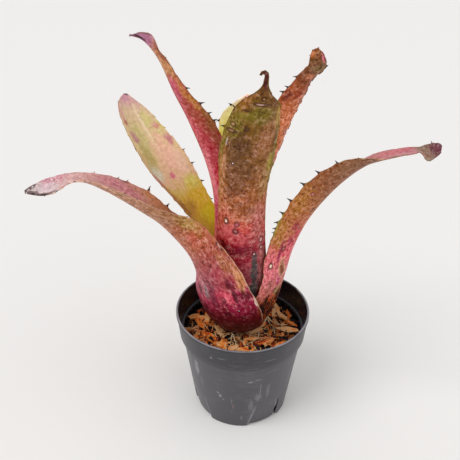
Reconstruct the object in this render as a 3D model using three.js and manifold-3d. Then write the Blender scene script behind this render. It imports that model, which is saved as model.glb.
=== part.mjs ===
// A potted hohenbergia: a spiny tank bromeliad of seven leaves in a round nursery pot of bark mix.
// Millimetres, +Z up, +X to the viewer's right, +Y away from the viewer.
// The origin is the centre of the pot's base, on the surface it stands on.
import * as THREE from 'three';
import { mergeVertices } from 'three/addons/utils/BufferGeometryUtils.js';
import Module from 'manifold-3d';

const wasm = await Module();
wasm.setup();

const deg = THREE.MathUtils.degToRad;
const lerp = THREE.MathUtils.lerp;
const GAP = 0.3;

// Pot
const POT_HEIGHT = 105;
const RIM_RADIUS = 60;
const BAND_FOOT_RADIUS = 57;
const BAND_DEPTH = 24;
const SHOULDER_RADIUS = 54.5;
const BASE_RADIUS = 43;
const POT_WALL = 1.4;
const LIP_WIDTH = 1.8;
const LIP_HEIGHT = 3;
const LIP_STEP = 0.8;
const LIP_ROUNDING = 0.5;
const LEDGE_RISE = 5;
const LEDGE_DROP = 1.5;
const FLOOR_THICKNESS = 2.8;
const UNDERSIDE_RADIUS = 38;
const FOOT_RECESSES = 4;
const RECESS_HEIGHT = 30;
const RECESS_DEPTH = 1.6;
const RECESS_LIFT = 2;
const RECESS_HALF_ANGLE = deg(21);
const RECESS_NARROWING = 0.4;
const RECESS_STEP = deg(1);
const FIRST_RECESS_BEARING = deg(-61);
const FACETS_PER_PANEL = 6;
const SLOT_WIDTH = 4;
const SLOT_HEIGHT = 20;
const SLOT_SILL = 1;
const SLOT_INSET = deg(3);

// Potting mix
const MIX_TOP = 79.2;
const MIX_SIDES = 40;
const CHIP_COUNT = 44;
const CHIP_LENGTH = [7, 13];
const CHIP_WIDTH = [3.5, 6.5];
const CHIP_THICKNESS = 2.6;
const CHIP_REACH = [29, 46];

// Plant: everything is measured from the collar, the point where the stem leaves the mix
const COLLAR = new THREE.Vector3(-3, 6, 81);
const STEM_RADIUS = 9;
const STEM_DEPTH = 24;
const STEM_SIDES = 20;
const BELLY_SWELL = 31;
const BELLY_HEIGHT = 60;
const BELLY_TAPER = 1.25;
const SHEATH_PITCH = 2.4;
const SHEATH_ROWS = 8;
const LEAF_COLUMNS = 10;
const LEAF_THICKNESS = 1.2;
const MARGIN_THICKNESS = 0.85;

// Spines stand along both margins, close together near the sheath and wider apart towards the tip
const SPINE_LENGTH = 4.2;
const SPINE_BASE = 2.2;
const SPINE_LEAN = 1;
const SPACING_SETTLES = 70;

// Surface roots run out over the mix at the front and right of the collar
const ROOT_RADIUS = 0.55;
const ROOT_BEARINGS = [-112, -84, -52, -34, -12, 40];
const ROOT_LENGTHS = [30, 27, 34, 30, 36, 30];

/* Each leaf: the bearing of its sheath, its layer counted from the outside, how far up the belly
   the sheath reaches, how far round it wraps on each side, where its spines start (distance along
   the midrib), their first and last spacing, and the stations of its blade. Angles are in degrees.
   A station is
   [bearing, distance out, height above the collar, half width, fold of each half, twist]. */
const LEAVES = [
  { name: 'leaf_arching_left', color: 0xa06a58, bearing: 212, layer: 0, reach: 78,
    wrap: [112, 110, 105, 95, 84], spinesFrom: 118, spacing: [14, 20], blade: [
      [205.5, 39.5, 65, 54, 75, -2], [197, 45.5, 84.5, 49, 67, 7], [190, 61.5, 107, 37, 63, 24],
      [190, 84, 129.5, 27.5, 58, 11], [188.5, 110.5, 149, 22, 41, 12],
      [187, 130.5, 156.5, 14.5, 27, 13], [187.5, 153, 152, 11.5, 19, -10],
      [188, 172.5, 150.5, 3, 20, -11]] },
  { name: 'leaf_arching_right', color: 0xa46a52, bearing: 345, layer: 1, reach: 78,
    wrap: [105, 100, 90, 75, 60], spinesFrom: 106, spacing: [5, 20], blade: [
      [349.5, 40.5, 66.5, 32, 51, -9], [349.5, 44, 88.5, 28, 53, -21],
      [350.5, 54.5, 117, 26.5, 64, -28], [351, 72, 145.5, 25.5, 69, -33],
      [350, 91.5, 168, 19.5, 56, -32], [350, 111, 179.5, 14, 30, -12],
      [351, 136, 187.5, 9.5, 19, -8], [349, 151.5, 192.5, 5.5, 12, 14]] },
  { name: 'leaf_back_left', color: 0xb5a07a, bearing: 138, layer: 2, reach: 70,
    wrap: [100, 98, 92, 80, 66], spinesFrom: 98, spacing: [17, 20], blade: [
      [140, 36, 63.5, 33, 53, 10], [141.5, 43.5, 88.5, 26, 44, 19], [141, 63, 112, 24, 33, 11],
      [141.5, 86.5, 136.5, 24.5, 27, 0], [141.5, 110, 158.5, 22, 25, 3],
      [140, 129.5, 176, 15.5, 23, 4], [137.5, 142.5, 186.5, 3, 20, 3]] },
  { name: 'leaf_front', color: 0x9a6048, bearing: 268, layer: 3, reach: 80,
    wrap: [100, 95, 85, 72, 60], spinesFrom: 200, spacing: [11, 15], blade: [
      [270, 30, 72.5, 28, 62, 0], [269.5, 30, 111, 25, 65, 0], [269, 32.5, 149, 23, 64, -2],
      [277.5, 33.5, 182, 26, 58, -1], [287.5, 35, 211, 24, 51, -1], [292, 37, 229.5, 17, 45, -3],
      [295.5, 35, 240.5, 5, 41, -2], [299.5, 33.5, 250.5, 1, 27, -1]] },
  { name: 'leaf_tall_left', color: 0xa24c50, bearing: 188, layer: 4, reach: 80,
    wrap: [90, 85, 80, 72, 60], spinesFrom: 182, spacing: [10, 30], blade: [
      [190, 25.5, 70, 27, 56, 0], [190, 21, 100.5, 24, 53, 10], [190, 20.5, 133, 23, 58, 20],
      [189.5, 26, 164, 23, 60, 25], [189.5, 38, 198.5, 20.5, 61, 29], [189, 51.5, 226, 15, 54, 21],
      [188, 62.5, 252, 10, 47, 15], [186.5, 73, 266, 11, 47, 16], [186.5, 83, 270.5, 7, 43, 27]] },
  { name: 'leaf_tall_right', color: 0xac6840, bearing: 325, layer: 5, reach: 80,
    wrap: [90, 85, 75, 68, 58], spinesFrom: 200, spacing: [10, 16], blade: [
      [330.5, 23.5, 71, 22, 54, 1], [334.5, 19, 107, 18.5, 48, -8], [337, 18.5, 148.5, 17, 43, -18],
      [340.5, 27, 187.5, 15.5, 40, -31], [343, 37.5, 217, 14.5, 41, -37],
      [341.5, 48, 240.5, 8.5, 35, -41], [338.5, 56.5, 252, 9, 29, -39],
      [336.5, 55, 266, 3.5, 30, -37]] },
  { name: 'leaf_back', color: 0x9a9440, bearing: 95, layer: 6, reach: 80,
    wrap: [80, 80, 75, 65, 60], spinesFrom: 170, spacing: [12, 15], blade: [
      [93, 24.5, 70.5, 20, 52, 0], [90, 23, 111, 18, 46, 0], [85.5, 23, 151.5, 20, 46, 0],
      [81.5, 23.5, 187, 23, 48, 0], [77, 24.5, 203, 16.5, 46, 0], [73.5, 25, 214.5, 4.5, 40, 0]] },
];

function randomSource(seed) {
  let state = seed;
  return () => {
    state = (state * 1664525 + 1013904223) % 4294967296;
    return state / 4294967296;
  };
}

function geometryFrom(points, triangles) {
  const geometry = new THREE.BufferGeometry();
  geometry.setAttribute('position', new THREE.Float32BufferAttribute(points.flatMap((p) => p.toArray()), 3));
  geometry.setIndex(triangles.flat());
  geometry.computeVertexNormals();
  return geometry;
}

function toSolid(geometry) {
  const bare = geometry.clone();
  bare.deleteAttribute('normal');
  bare.deleteAttribute('uv');
  const merged = mergeVertices(bare, 1e-4);
  return new wasm.Manifold(new wasm.Mesh({
    numProp: 3,
    vertProperties: new Float32Array(merged.attributes.position.array),
    triVerts: new Uint32Array(merged.index.array),
  }));
}

function toGeometry(solid) {
  const mesh = solid.getMesh();
  const geometry = new THREE.BufferGeometry();
  geometry.setAttribute('position', new THREE.BufferAttribute(new Float32Array(mesh.vertProperties), 3));
  geometry.setIndex(new THREE.BufferAttribute(new Uint32Array(mesh.triVerts), 1));
  geometry.computeVertexNormals();
  return geometry;
}

// The biggest piece of a joined solid: loose scraps are dropped and sealed hollows filled
function mainBody(solid) {
  return solid.decompose().reduce((best, piece) => (piece.volume() > best.volume() ? piece : best));
}

function named(name, geometry, color, roughness, metalness = 0) {
  const mesh = new THREE.Mesh(geometry, new THREE.MeshStandardMaterial({ color, roughness, metalness }));
  mesh.name = name;
  return mesh;
}

// Pot: rings of points, outer wall upwards, over the lip and down inside, closed by a floor

// How much of the recess is left at this height: all of it at the base, nothing at its top
function recessShare(z) {
  return Math.max(0, 1 - z / RECESS_HEIGHT);
}

// Bearings of one ring: pressed-in panels that narrow upwards take turns with plain ones
function ringColumns(z) {
  const half = RECESS_HALF_ANGLE * (1 - RECESS_NARROWING * (1 - recessShare(z)));
  const period = (2 * Math.PI) / FOOT_RECESSES;
  const columns = [];
  for (let k = 0; k < FOOT_RECESSES; k++) {
    const centre = FIRST_RECESS_BEARING + k * period;
    for (let i = 0; i <= FACETS_PER_PANEL; i++) {
      const share = i / FACETS_PER_PANEL;
      columns.push({ bearing: centre + lerp(-half, half, share), pressed: true });
    }
    for (let i = 0; i <= FACETS_PER_PANEL; i++) {
      const share = i / FACETS_PER_PANEL;
      const turn = lerp(half + RECESS_STEP, period - half - RECESS_STEP, share);
      columns.push({ bearing: centre + turn, pressed: false });
    }
  }
  return columns;
}

function bodyRadius(z) {
  return lerp(BASE_RADIUS, SHOULDER_RADIUS, z / (POT_HEIGHT - BAND_DEPTH - 1));
}

function potProfile() {
  const bandFoot = POT_HEIGHT - BAND_DEPTH;
  const ledge = bandFoot + LEDGE_RISE;
  const lipFoot = POT_HEIGHT - LIP_HEIGHT;
  const bodyHeights = [RECESS_HEIGHT * 0.3, RECESS_HEIGHT * 0.6, RECESS_HEIGHT, bandFoot - 1];
  const outside = [[UNDERSIDE_RADIUS, 0], ...[0, ...bodyHeights].map((z) => [bodyRadius(z), z])];
  const band = [[BAND_FOOT_RADIUS, bandFoot], [RIM_RADIUS - LIP_STEP, lipFoot - 1], [RIM_RADIUS, lipFoot],
    [RIM_RADIUS, POT_HEIGHT - LIP_ROUNDING], [RIM_RADIUS - LIP_ROUNDING, POT_HEIGHT]];
  const inside = [[RIM_RADIUS - LIP_WIDTH, POT_HEIGHT], [BAND_FOOT_RADIUS - POT_WALL, ledge + LEDGE_DROP],
    [SHOULDER_RADIUS - POT_WALL, ledge]];
  const walls = [...bodyHeights.toReversed(), FLOOR_THICKNESS].map((z) => [bodyRadius(z) - POT_WALL, z]);
  return [...outside, ...band, ...inside, ...walls];
}

function potShell() {
  const points = [];
  const profile = potProfile();
  for (const [radius, z] of profile) {
    for (const { bearing, pressed } of ringColumns(z)) {
      const isWall = radius > UNDERSIDE_RADIUS;
      const r = pressed && isWall ? radius - RECESS_DEPTH * recessShare(z) : radius;
      const lifted = pressed && isWall ? Math.max(z, RECESS_LIFT) : z;
      points.push(new THREE.Vector3(r * Math.cos(bearing), r * Math.sin(bearing), lifted));
    }
  }
  const sides = ringColumns(0).length;
  const underside = points.push(new THREE.Vector3(0, 0, 0)) - 1;
  const floor = points.push(new THREE.Vector3(0, 0, FLOOR_THICKNESS)) - 1;
  const last = (profile.length - 1) * sides;
  const triangles = [];
  for (let i = 0; i < sides; i++) {
    const next = (i + 1) % sides;
    for (let ring = 0; ring < last; ring += sides) {
      const [a, b, c, d] = [ring + i, ring + next, ring + sides + next, ring + sides + i];
      triangles.push([a, b, c], [a, c, d]);
    }
    triangles.push([underside, next, i], [floor, last + i, last + next]);
  }
  return geometryFrom(points, triangles);
}

// A tall narrow wedge through the wall at one edge of a recess
function drainSlot(bearing) {
  const outline = new THREE.Shape([
    new THREE.Vector2(-SLOT_WIDTH / 2, SLOT_SILL),
    new THREE.Vector2(SLOT_WIDTH / 2, SLOT_SILL),
    new THREE.Vector2(0, SLOT_SILL + SLOT_HEIGHT),
  ]);
  const reach = 12;
  const wedge = new THREE.ExtrudeGeometry(outline, { depth: reach, bevelEnabled: false });
  wedge.rotateX(Math.PI / 2);
  wedge.rotateZ(Math.PI / 2);
  wedge.translate(BASE_RADIUS - reach / 2, 0, 0);
  wedge.rotateZ(bearing);
  return toSolid(wedge);
}

function nurseryPot() {
  let pot = toSolid(potShell());
  for (let i = 0; i < FOOT_RECESSES; i++) {
    const centre = FIRST_RECESS_BEARING + (2 * Math.PI * i) / FOOT_RECESSES;
    const side = i % 2 === 0 ? 1 : -1;
    pot = pot.subtract(drainSlot(centre + side * (RECESS_HALF_ANGLE - SLOT_INSET)));
  }
  return named('nursery_pot', toGeometry(mainBody(pot)), 0x55565a, 0.5);
}

// Stem with its surface roots

function stemProfile() {
  const top = SHEATH_PITCH * LEAVES.length;
  return [[0, -STEM_DEPTH], [5, -STEM_DEPTH + 2], [STEM_RADIUS - GAP - 1, -STEM_DEPTH + 8],
    [STEM_RADIUS - GAP, -6], [STEM_RADIUS - GAP, top], [STEM_RADIUS - 4, top + 6], [0, top + 12]];
}

function latheUp(profile, sides) {
  const points = profile.map(([r, z]) => new THREE.Vector2(r, z));
  return new THREE.LatheGeometry(points, sides).rotateX(Math.PI / 2);
}

function rootPath(bearing, length) {
  const start = STEM_RADIUS - 3;
  const height = MIX_TOP + ROOT_RADIUS;
  return [0, 0.35, 0.7, 1].map((share) => {
    const swing = deg(bearing) + 0.2 * Math.sin(4 * share + bearing);
    const out = lerp(start, start + length, share);
    return new THREE.Vector3(COLLAR.x + out * Math.cos(swing), COLLAR.y + out * Math.sin(swing), height);
  });
}

function root(bearing, length, radius) {
  const section = new THREE.Shape();
  section.absarc(0, 0, radius, 0, 2 * Math.PI);
  return new THREE.ExtrudeGeometry(section, {
    curveSegments: 3,
    steps: 7,
    bevelEnabled: false,
    extrudePath: new THREE.CatmullRomCurve3(rootPath(bearing, length)),
  });
}

// The stem and its roots, all thicker by the clearance when they are cut out of the mix
function rootedStem(clearance) {
  const profile = stemProfile().map(([r, z], i) => [r > 0 ? r + clearance : 0, i < 2 ? z - clearance : z]);
  let solid = toSolid(latheUp(profile, STEM_SIDES).translate(COLLAR.x, COLLAR.y, COLLAR.z));
  ROOT_BEARINGS.forEach((bearing, i) => {
    solid = solid.add(toSolid(root(bearing, ROOT_LENGTHS[i] + clearance, ROOT_RADIUS + clearance)));
  });
  return solid;
}

function stem() {
  return named('stem', toGeometry(mainBody(rootedStem(0))), 0x7a4a2a, 0.8);
}

// Potting mix: a plug that fills the pot, with bark chips lying on it and a plain hole for the stem

function mixPlug() {
  const clearance = POT_WALL + GAP + 0.2;
  const bottom = FLOOR_THICKNESS + GAP;
  return latheUp([[0, bottom], [bodyRadius(bottom) - clearance - RECESS_DEPTH, bottom],
    [bodyRadius(RECESS_HEIGHT) - clearance - 0.2, RECESS_HEIGHT], [bodyRadius(MIX_TOP) - clearance, MIX_TOP],
    [0, MIX_TOP]], MIX_SIDES);
}

function barkChip(random, x, y) {
  const length = lerp(CHIP_LENGTH[0], CHIP_LENGTH[1], random());
  const width = lerp(CHIP_WIDTH[0], CHIP_WIDTH[1], random());
  const chip = new THREE.BoxGeometry(length, width, CHIP_THICKNESS);
  chip.rotateX(deg(lerp(-18, 18, random())));
  chip.rotateY(deg(lerp(-16, 16, random())));
  chip.rotateZ(2 * Math.PI * random());
  chip.translate(x, y, MIX_TOP + CHIP_THICKNESS * lerp(0.15, 0.45, random()));
  return toSolid(chip);
}

function pottingMix() {
  const random = randomSource(7);
  const wallLimit = SHOULDER_RADIUS - POT_WALL - CHIP_LENGTH[1] / 2 - 1.5;
  let mix = toSolid(mixPlug());
  let placed = 0;
  while (placed < CHIP_COUNT) {
    const bearing = 2 * Math.PI * random();
    const out = lerp(CHIP_REACH[0], CHIP_REACH[1] + 12, random());
    const x = COLLAR.x + out * Math.cos(bearing);
    const y = COLLAR.y + out * Math.sin(bearing);
    if (Math.hypot(x, y) > wallLimit) continue;
    mix = mix.add(barkChip(random, x, y));
    placed += 1;
  }
  return named('potting_mix', toGeometry(mainBody(mix.subtract(rootedStem(GAP)))), 0x8a5428, 0.95);
}

// Leaves

// Outline of the swollen urn that the sheaths make, pressed in by the leaf's layer
function urnPoint(angle, inset) {
  const [s, c] = [Math.sin(angle), Math.cos(angle)];
  const n = Math.hypot(BELLY_HEIGHT * s, BELLY_SWELL * c);
  return [STEM_RADIUS + BELLY_SWELL * s ** BELLY_TAPER - (inset * BELLY_HEIGHT * s) / n,
    BELLY_HEIGHT * (1 - c) + (inset * BELLY_SWELL * c) / n];
}

function readEvenly(values, share) {
  const place = share * (values.length - 1);
  const low = Math.min(Math.floor(place), values.length - 2);
  return lerp(values[low], values[low + 1], place - low);
}

// Stations of the whole leaf: [bearing, out, up, half width, fold, twist, how blade-like]
function stationsOf(leaf) {
  const stations = [];
  for (let i = 0; i <= SHEATH_ROWS; i++) {
    const share = i / SHEATH_ROWS;
    const [out, up] = urnPoint(deg(leaf.reach) * share, leaf.layer * SHEATH_PITCH);
    const wrap = deg(readEvenly(leaf.wrap, share));
    stations.push([deg(leaf.bearing), out, up, out * wrap, wrap, 0, 0]);
  }
  leaf.blade.forEach(([bearing, out, up, half, fold, twist], i) => {
    stations.push([deg(bearing), out, up, half, deg(fold), deg(twist), Math.min(1, (i + 1) / 2)]);
  });
  return stations;
}

function midribPoint([bearing, out, up]) {
  return new THREE.Vector3(out * Math.cos(bearing), out * Math.sin(bearing), up).add(COLLAR);
}

// Smooth curve through the stations; place counts stations from the base
function stationAt(stations, place) {
  const last = stations.length - 1;
  const low = Math.min(Math.floor(Math.max(place, 0)), last - 1);
  const f = Math.min(place, last) - low;
  return stations[low].map((p1, k) => {
    const p2 = stations[low + 1][k];
    const p0 = low > 0 ? stations[low - 1][k] : 2 * p1 - p2;
    const p3 = low + 2 <= last ? stations[low + 2][k] : 2 * p2 - p1;
    return 0.5 * (2 * p1 + (p2 - p0) * f + (2 * p0 - 5 * p1 + 4 * p2 - p3) * f * f
      + (3 * p1 - p0 - 3 * p2 + p3) * f * f * f);
  });
}

function lengthTable(stations) {
  const steps = 400;
  const table = [[0, 0]];
  let before = midribPoint(stations[0]);
  for (let i = 1; i <= steps; i++) {
    const place = ((stations.length - 1) * i) / steps;
    const point = midribPoint(stationAt(stations, place));
    table.push([table[i - 1][0] + point.distanceTo(before), place]);
    before = point;
  }
  return table;
}

function placeAtLength(table, length) {
  const i = Math.max(1, table.findIndex(([reached]) => reached >= length));
  const [[l0, p0], [l1, p1]] = [table[i - 1], table[i]];
  return lerp(p0, p1, Math.min(1, (length - l0) / (l1 - l0)));
}

// Points of one cross-section on the leaf's outer face: an arc that hugs the belly in the sheath
// and stands square to the midrib in the blade
function sectionPoints(stations, place) {
  const [bearing, out, up, half, fold, twist, bladeLike] = stationAt(stations, place);
  const nudge = 0.001;
  const along = midribPoint(stationAt(stations, Math.min(place + nudge, stations.length - 1)))
    .sub(midribPoint(stationAt(stations, Math.max(place - nudge, 0)))).normalize();
  const outward = new THREE.Vector3(Math.cos(bearing), Math.sin(bearing), 0);
  const sideways = new THREE.Vector3(-Math.sin(bearing), Math.cos(bearing), 0);
  const inner = new THREE.Vector3().crossVectors(along, sideways).normalize();
  const across = new THREE.Vector3().crossVectors(inner, along);
  inner.lerpVectors(outward.clone().negate(), inner, bladeLike).normalize();
  across.lerpVectors(sideways, across, bladeLike).normalize();
  const turnedAcross = across.clone().multiplyScalar(Math.cos(twist)).addScaledVector(inner, Math.sin(twist));
  const turnedInner = inner.clone().multiplyScalar(Math.cos(twist)).addScaledVector(across, -Math.sin(twist));
  const centre = midribPoint([bearing, out, up]);
  const bend = Math.max(half, 0.4) / fold;
  const points = [];
  for (let j = 0; j <= LEAF_COLUMNS; j++) {
    const angle = fold * ((2 * j) / LEAF_COLUMNS - 1);
    points.push(centre.clone().addScaledVector(turnedAcross, bend * Math.sin(angle))
      .addScaledVector(turnedInner, bend * (1 - Math.cos(angle))));
  }
  return points;
}

// Distances along the midrib of the rows, and which gaps between rows carry a pair of spines
function rowPlan(leaf, total) {
  const lengths = [];
  const spiny = new Set();
  const plainStep = 12;
  const plainRows = Math.round(leaf.spinesFrom / plainStep);
  for (let i = 0; i < plainRows; i++) lengths.push((leaf.spinesFrom * i) / plainRows);
  let at = leaf.spinesFrom;
  while (at < total - 5) {
    spiny.add(lengths.length);
    lengths.push(at, at + SPINE_BASE);
    at += lerp(...leaf.spacing, Math.min(1, (at - leaf.spinesFrom) / SPACING_SETTLES));
  }
  const last = lengths[lengths.length - 1];
  lengths.push((last + total) / 2, total);
  return { lengths, spiny };
}

// Local direction from the outer face to the inner one at every point of the grid; at the stem the
// sheath starts out level, so there it points straight up
function innerNormals(rows) {
  return rows.map((row, i) => row.map((point, j) => {
    const [below, above] = [rows[Math.max(i - 1, 0)][j], rows[Math.min(i + 1, rows.length - 1)][j]];
    const [left, right] = [row[Math.max(j - 1, 0)], row[Math.min(j + 1, row.length - 1)]];
    if (i === 0) return new THREE.Vector3(0, 0, 1);
    const along = above.clone().sub(below);
    return right.clone().sub(left).cross(along).negate().normalize();
  }));
}

function leafSolid(leaf) {
  const stations = stationsOf(leaf);
  const table = lengthTable(stations);
  const total = table[table.length - 1][0];
  const { lengths, spiny } = rowPlan(leaf, total);
  const rows = lengths.map((length) => sectionPoints(stations, placeAtLength(table, length)));
  const normals = innerNormals(rows);
  const ring = 2 * (LEAF_COLUMNS + 1);
  const points = [];
  rows.forEach((row, i) => {
    const inside = row.map((p, j) => {
      const rim = Math.abs((2 * j) / LEAF_COLUMNS - 1) ** 2;
      return p.clone().addScaledVector(normals[i][j], lerp(LEAF_THICKNESS, MARGIN_THICKNESS, rim));
    });
    points.push(...row, ...inside);
  });
  const triangles = [];
  const inside = LEAF_COLUMNS + 1;
  for (let i = 0; i < rows.length - 1; i++) {
    const [here, above] = [i * ring, (i + 1) * ring];
    for (let j = 0; j < LEAF_COLUMNS; j++) {
      triangles.push([here + j, here + j + 1, above + j + 1], [here + j, above + j + 1, above + j]);
      const [p, q] = [here + inside + j, above + inside + j];
      triangles.push([p, q + 1, p + 1], [p, q, q + 1]);
    }
    for (const [side, edge] of [[-1, 0], [1, LEAF_COLUMNS]]) {
      const wall = [here + edge, here + edge + inside, above + edge + inside, above + edge];
      if (side < 0) wall.reverse();
      if (spiny.has(i)) {
        const apex = points.push(spineTip(rows, normals, i, edge)) - 1;
        wall.forEach((corner, k) => triangles.push([corner, wall[(k + 1) % 4], apex]));
      } else {
        triangles.push([wall[0], wall[1], wall[2]], [wall[0], wall[2], wall[3]]);
      }
    }
  }
  const tip = (rows.length - 1) * ring;
  const end = points.push(tipPoint(rows)) - 1;
  for (let j = 0; j < LEAF_COLUMNS; j++) {
    triangles.push([j, inside + j, inside + j + 1], [j, inside + j + 1, j + 1]);
    triangles.push([tip + j, tip + j + 1, end], [tip + inside + j + 1, tip + inside + j, end]);
  }
  triangles.push([tip + inside, tip, end], [tip + LEAF_COLUMNS, tip + inside + LEAF_COLUMNS, end]);
  return geometryFrom(points, triangles);
}

// A spine stands out from the margin and leans back towards the foot of the leaf
function spineTip(rows, normals, i, edge) {
  const neighbour = edge === 0 ? 1 : LEAF_COLUMNS - 1;
  const base = rows[i][edge].clone().add(rows[i + 1][edge]).multiplyScalar(0.5)
    .addScaledVector(normals[i][edge], MARGIN_THICKNESS / 2);
  const outward = rows[i][edge].clone().sub(rows[i][neighbour]).normalize();
  const along = rows[i + 1][edge].clone().sub(rows[i][edge]).normalize();
  return base.addScaledVector(outward, SPINE_LENGTH).addScaledVector(along, -SPINE_LEAN);
}

function tipPoint(rows) {
  const middle = LEAF_COLUMNS / 2;
  const [before, last] = [rows[rows.length - 2][middle], rows[rows.length - 1][middle]];
  return last.clone().addScaledVector(last.clone().sub(before).normalize(), 2.5);
}

const plant = new THREE.Group();
for (const leaf of LEAVES) plant.add(named(leaf.name, leafSolid(leaf), leaf.color, 0.5));
plant.add(stem());

const pottedHohenbergia = new THREE.Group();
pottedHohenbergia.add(nurseryPot(), pottingMix(), plant);

export default pottedHohenbergia;
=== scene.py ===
# A potted hohenbergia: a spiny tank bromeliad of seven leaves in a round nursery pot of bark mix.
# Shapes are worked out in millimetres, as in the part's source, and put in place in metres.
import contextlib
import math
import random

import bpy
from mathutils import Matrix, Vector


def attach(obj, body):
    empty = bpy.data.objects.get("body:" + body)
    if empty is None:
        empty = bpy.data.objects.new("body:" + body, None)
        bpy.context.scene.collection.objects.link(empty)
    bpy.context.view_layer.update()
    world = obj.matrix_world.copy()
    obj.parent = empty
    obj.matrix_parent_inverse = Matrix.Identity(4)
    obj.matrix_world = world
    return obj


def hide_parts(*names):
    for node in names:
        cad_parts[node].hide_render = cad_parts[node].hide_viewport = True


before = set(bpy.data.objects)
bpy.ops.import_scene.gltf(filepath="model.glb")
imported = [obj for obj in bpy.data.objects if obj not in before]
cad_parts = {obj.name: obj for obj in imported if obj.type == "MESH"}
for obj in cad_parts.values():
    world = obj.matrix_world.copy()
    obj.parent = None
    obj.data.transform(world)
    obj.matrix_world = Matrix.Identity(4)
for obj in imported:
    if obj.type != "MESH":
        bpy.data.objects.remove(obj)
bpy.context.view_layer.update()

MM = 0.001
TURN = 2 * math.pi
UP = Vector((0, 0, 1))

# Camera and floor
CAMERA_PLACE = Vector((-12.1, -501.5, 495.8)) * MM
CAMERA_PITCH = math.radians(31.61)
CAMERA_ROLL = math.radians(0.57)
SENSOR_WIDTH = 36
FOCAL_SHARE = 700 / 460
FLOOR_SIZE = 12

# Pot
POT_HEIGHT = 105
RIM_RADIUS = 60
BAND_FOOT_RADIUS = 57
BAND_DEPTH = 24
BAND_FOOT = POT_HEIGHT - BAND_DEPTH
SHOULDER_RADIUS = 54.5
BASE_RADIUS = 43
POT_WALL = 1.4
LIP_WIDTH = 1.8
LIP_HEIGHT = 3
LIP_STEP = 0.8
LEDGE_RISE = 5
LEDGE_DROP = 1.5
FLOOR_THICKNESS = 2.8
UNDERSIDE_RADIUS = 38
POT_SIDES = 360
FOOT_RECESSES = 4
RECESS_PERIOD = TURN / FOOT_RECESSES
RECESS_HEIGHT = 30
RECESS_DEPTH = 1.6
RECESS_LIFT = 2
RECESS_HALF_ANGLE = math.radians(21)
RECESS_NARROWING = 0.4
RECESS_EDGE = math.radians(1.2)
FIRST_RECESS_BEARING = math.radians(-61)
SLOT_WIDTH = 4.4
SLOT_TOP_WIDTH = 1.2
SLOT_HEIGHT = 24
SLOT_SILL = 1
SLOT_INSET = math.radians(3)

# Marks of old drips on the outer wall, which is unrolled at this radius; the first is a painted highlight on
# the left of the wall, where the key light falls:
# (bearing, height, half width, half height, colour, amount)
MARK_RADIUS = 50
DRIP_MARKS_AND_HIGHLIGHT = [(-141, 62, 3, 10, "#8d8b8e", 0.75), (-136, 48, 2, 7, "#79777a", 0.35),
    (-113.5, 40, 1.6, 2.2, "#a3a09f", 0.63), (-110, 36, 1, 1.4, "#a3a09f", 0.56),
    (-116, 44, 1.2, 1.2, "#98959a", 0.49), (-101, 36, 0.7, 4, "#a08a86", 0.56),
    (-99.5, 28, 0.9, 3.5, "#8a6860", 0.56), (-101, 21, 0.7, 2, "#8a6a62", 0.49),
    (-82.5, 63, 2.2, 0.8, "#a5a3a3", 0.63), (-75, 65, 3, 0.7, "#98969a", 0.49),
    (-72.5, 40, 3, 5, "#8f8d90", 0.42), (-80, 30, 2.5, 8, "#858387", 0.42),
    (-62, 47, 1.6, 9, "#858387", 0.42), (-71, 52, 0.6, 10, "#a09e9f", 0.42),
    (-90, 12, 1.2, 3, "#8a888a", 0.42), (-118, 91, 1, 1, "#9a989a", 0.56),
    (-108, 93, 4, 0.6, "#8a888c", 0.49), (-66, 90, 5, 0.6, "#8a888c", 0.42),
    (-60, 72, 6, 0.7, "#77757a", 0.42), (-30, 50, 2, 10, "#79777c", 0.35)]

# Potting mix
MIX_TOP = 79.2
BED_SIDES = 96
BED_BUMPS = 160
BED_SEED = 3
# The top of the bed is made of rings, but for those in its middle, under the plant
BED_RINGS = 26
BED_MIDDLE = 5
# Chips are copies of a few patterns, of which the first ones are blunt. Near the collar they start
# outside the stem, and lie low and flat as far out as the swollen leaf bases reach.
CHIP_PATTERNS = 7
BLUNT_PATTERNS = 3
CHIP_COUNT = 310
CRUMB_COUNT = 230
CHIP_SEED = 11
CHIP_TONES = (0.02, 0.12, 0.25, 0.4, 0.5, 0.6, 0.7, 0.85)
CHIPS_START = 12
BELLY_CLEARANCE = 24
FIBRE_COUNT = 420
FIBRE_PIECES = 6
FIBRE_SEED = 29
FIBRE_TONES = (0.1, 0.35, 0.55, 0.7, 0.8, 0.92)
FIBRES_START = 15
BIG_CHIP_THICKNESS = 1.6
# Chips that stand out: (x, y, bearing, length, width, tone, lift)
BIG_CHIPS = [(-38, 13, 158, 15, 7, 0.74, 2.4), (-45, 17, 25, 10, 5, 0.8, 2.0),
    (-38, 4, -62, 13, 5, 0.7, 2.4), (-32, 17, 100, 9, 5, 0.66, 2.6), (-21, -6, -62, 18, 4.5, 0.82, 2.6),
    (-18, -24, 10, 9, 7, 0.74, 3.0), (-8, -28, 20, 9, 6, 0.78, 2.6), (33, 31, -75, 19, 4.2, 0.8, 3.0),
    (37, 18, -58, 20, 4.8, 0.76, 3.2), (45, 8, -40, 14, 4, 0.7, 2.2), (41, -3, -20, 22, 6.5, 0.9, 3.6),
    (30, 22, 80, 12, 4, 0.88, 3.0), (25, -17, 60, 10, 7, 0.5, 2.4), (17, -20, 20, 12, 6, 0.45, 2.4),
    (4, -30, -5, 12, 5, 0.66, 2.2), (-28, -12, -40, 11, 5, 0.6, 2.4), (8, -16, 5, 13, 3.5, 0.85, 2.8),
    (33, -22, 40, 12, 5, 0.68, 2.2), (-30, 28, 60, 12, 6, 0.6, 2.2), (-15, 40, 10, 14, 6, 0.7, 2.2),
    (10, 42, -20, 13, 5, 0.6, 2.2), (25, 38, 35, 12, 5, 0.78, 2.2), (-42, -14, 80, 11, 5, 0.62, 2.2),
    (44, 22, 95, 11, 5, 0.6, 2.0), (-14, -1, -35, 12, 4, 0.8, 3.4), (12, -5, 15, 12, 4.5, 0.78, 3.2),
    (19, 3, 50, 9, 4, 0.6, 3.2)]
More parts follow.
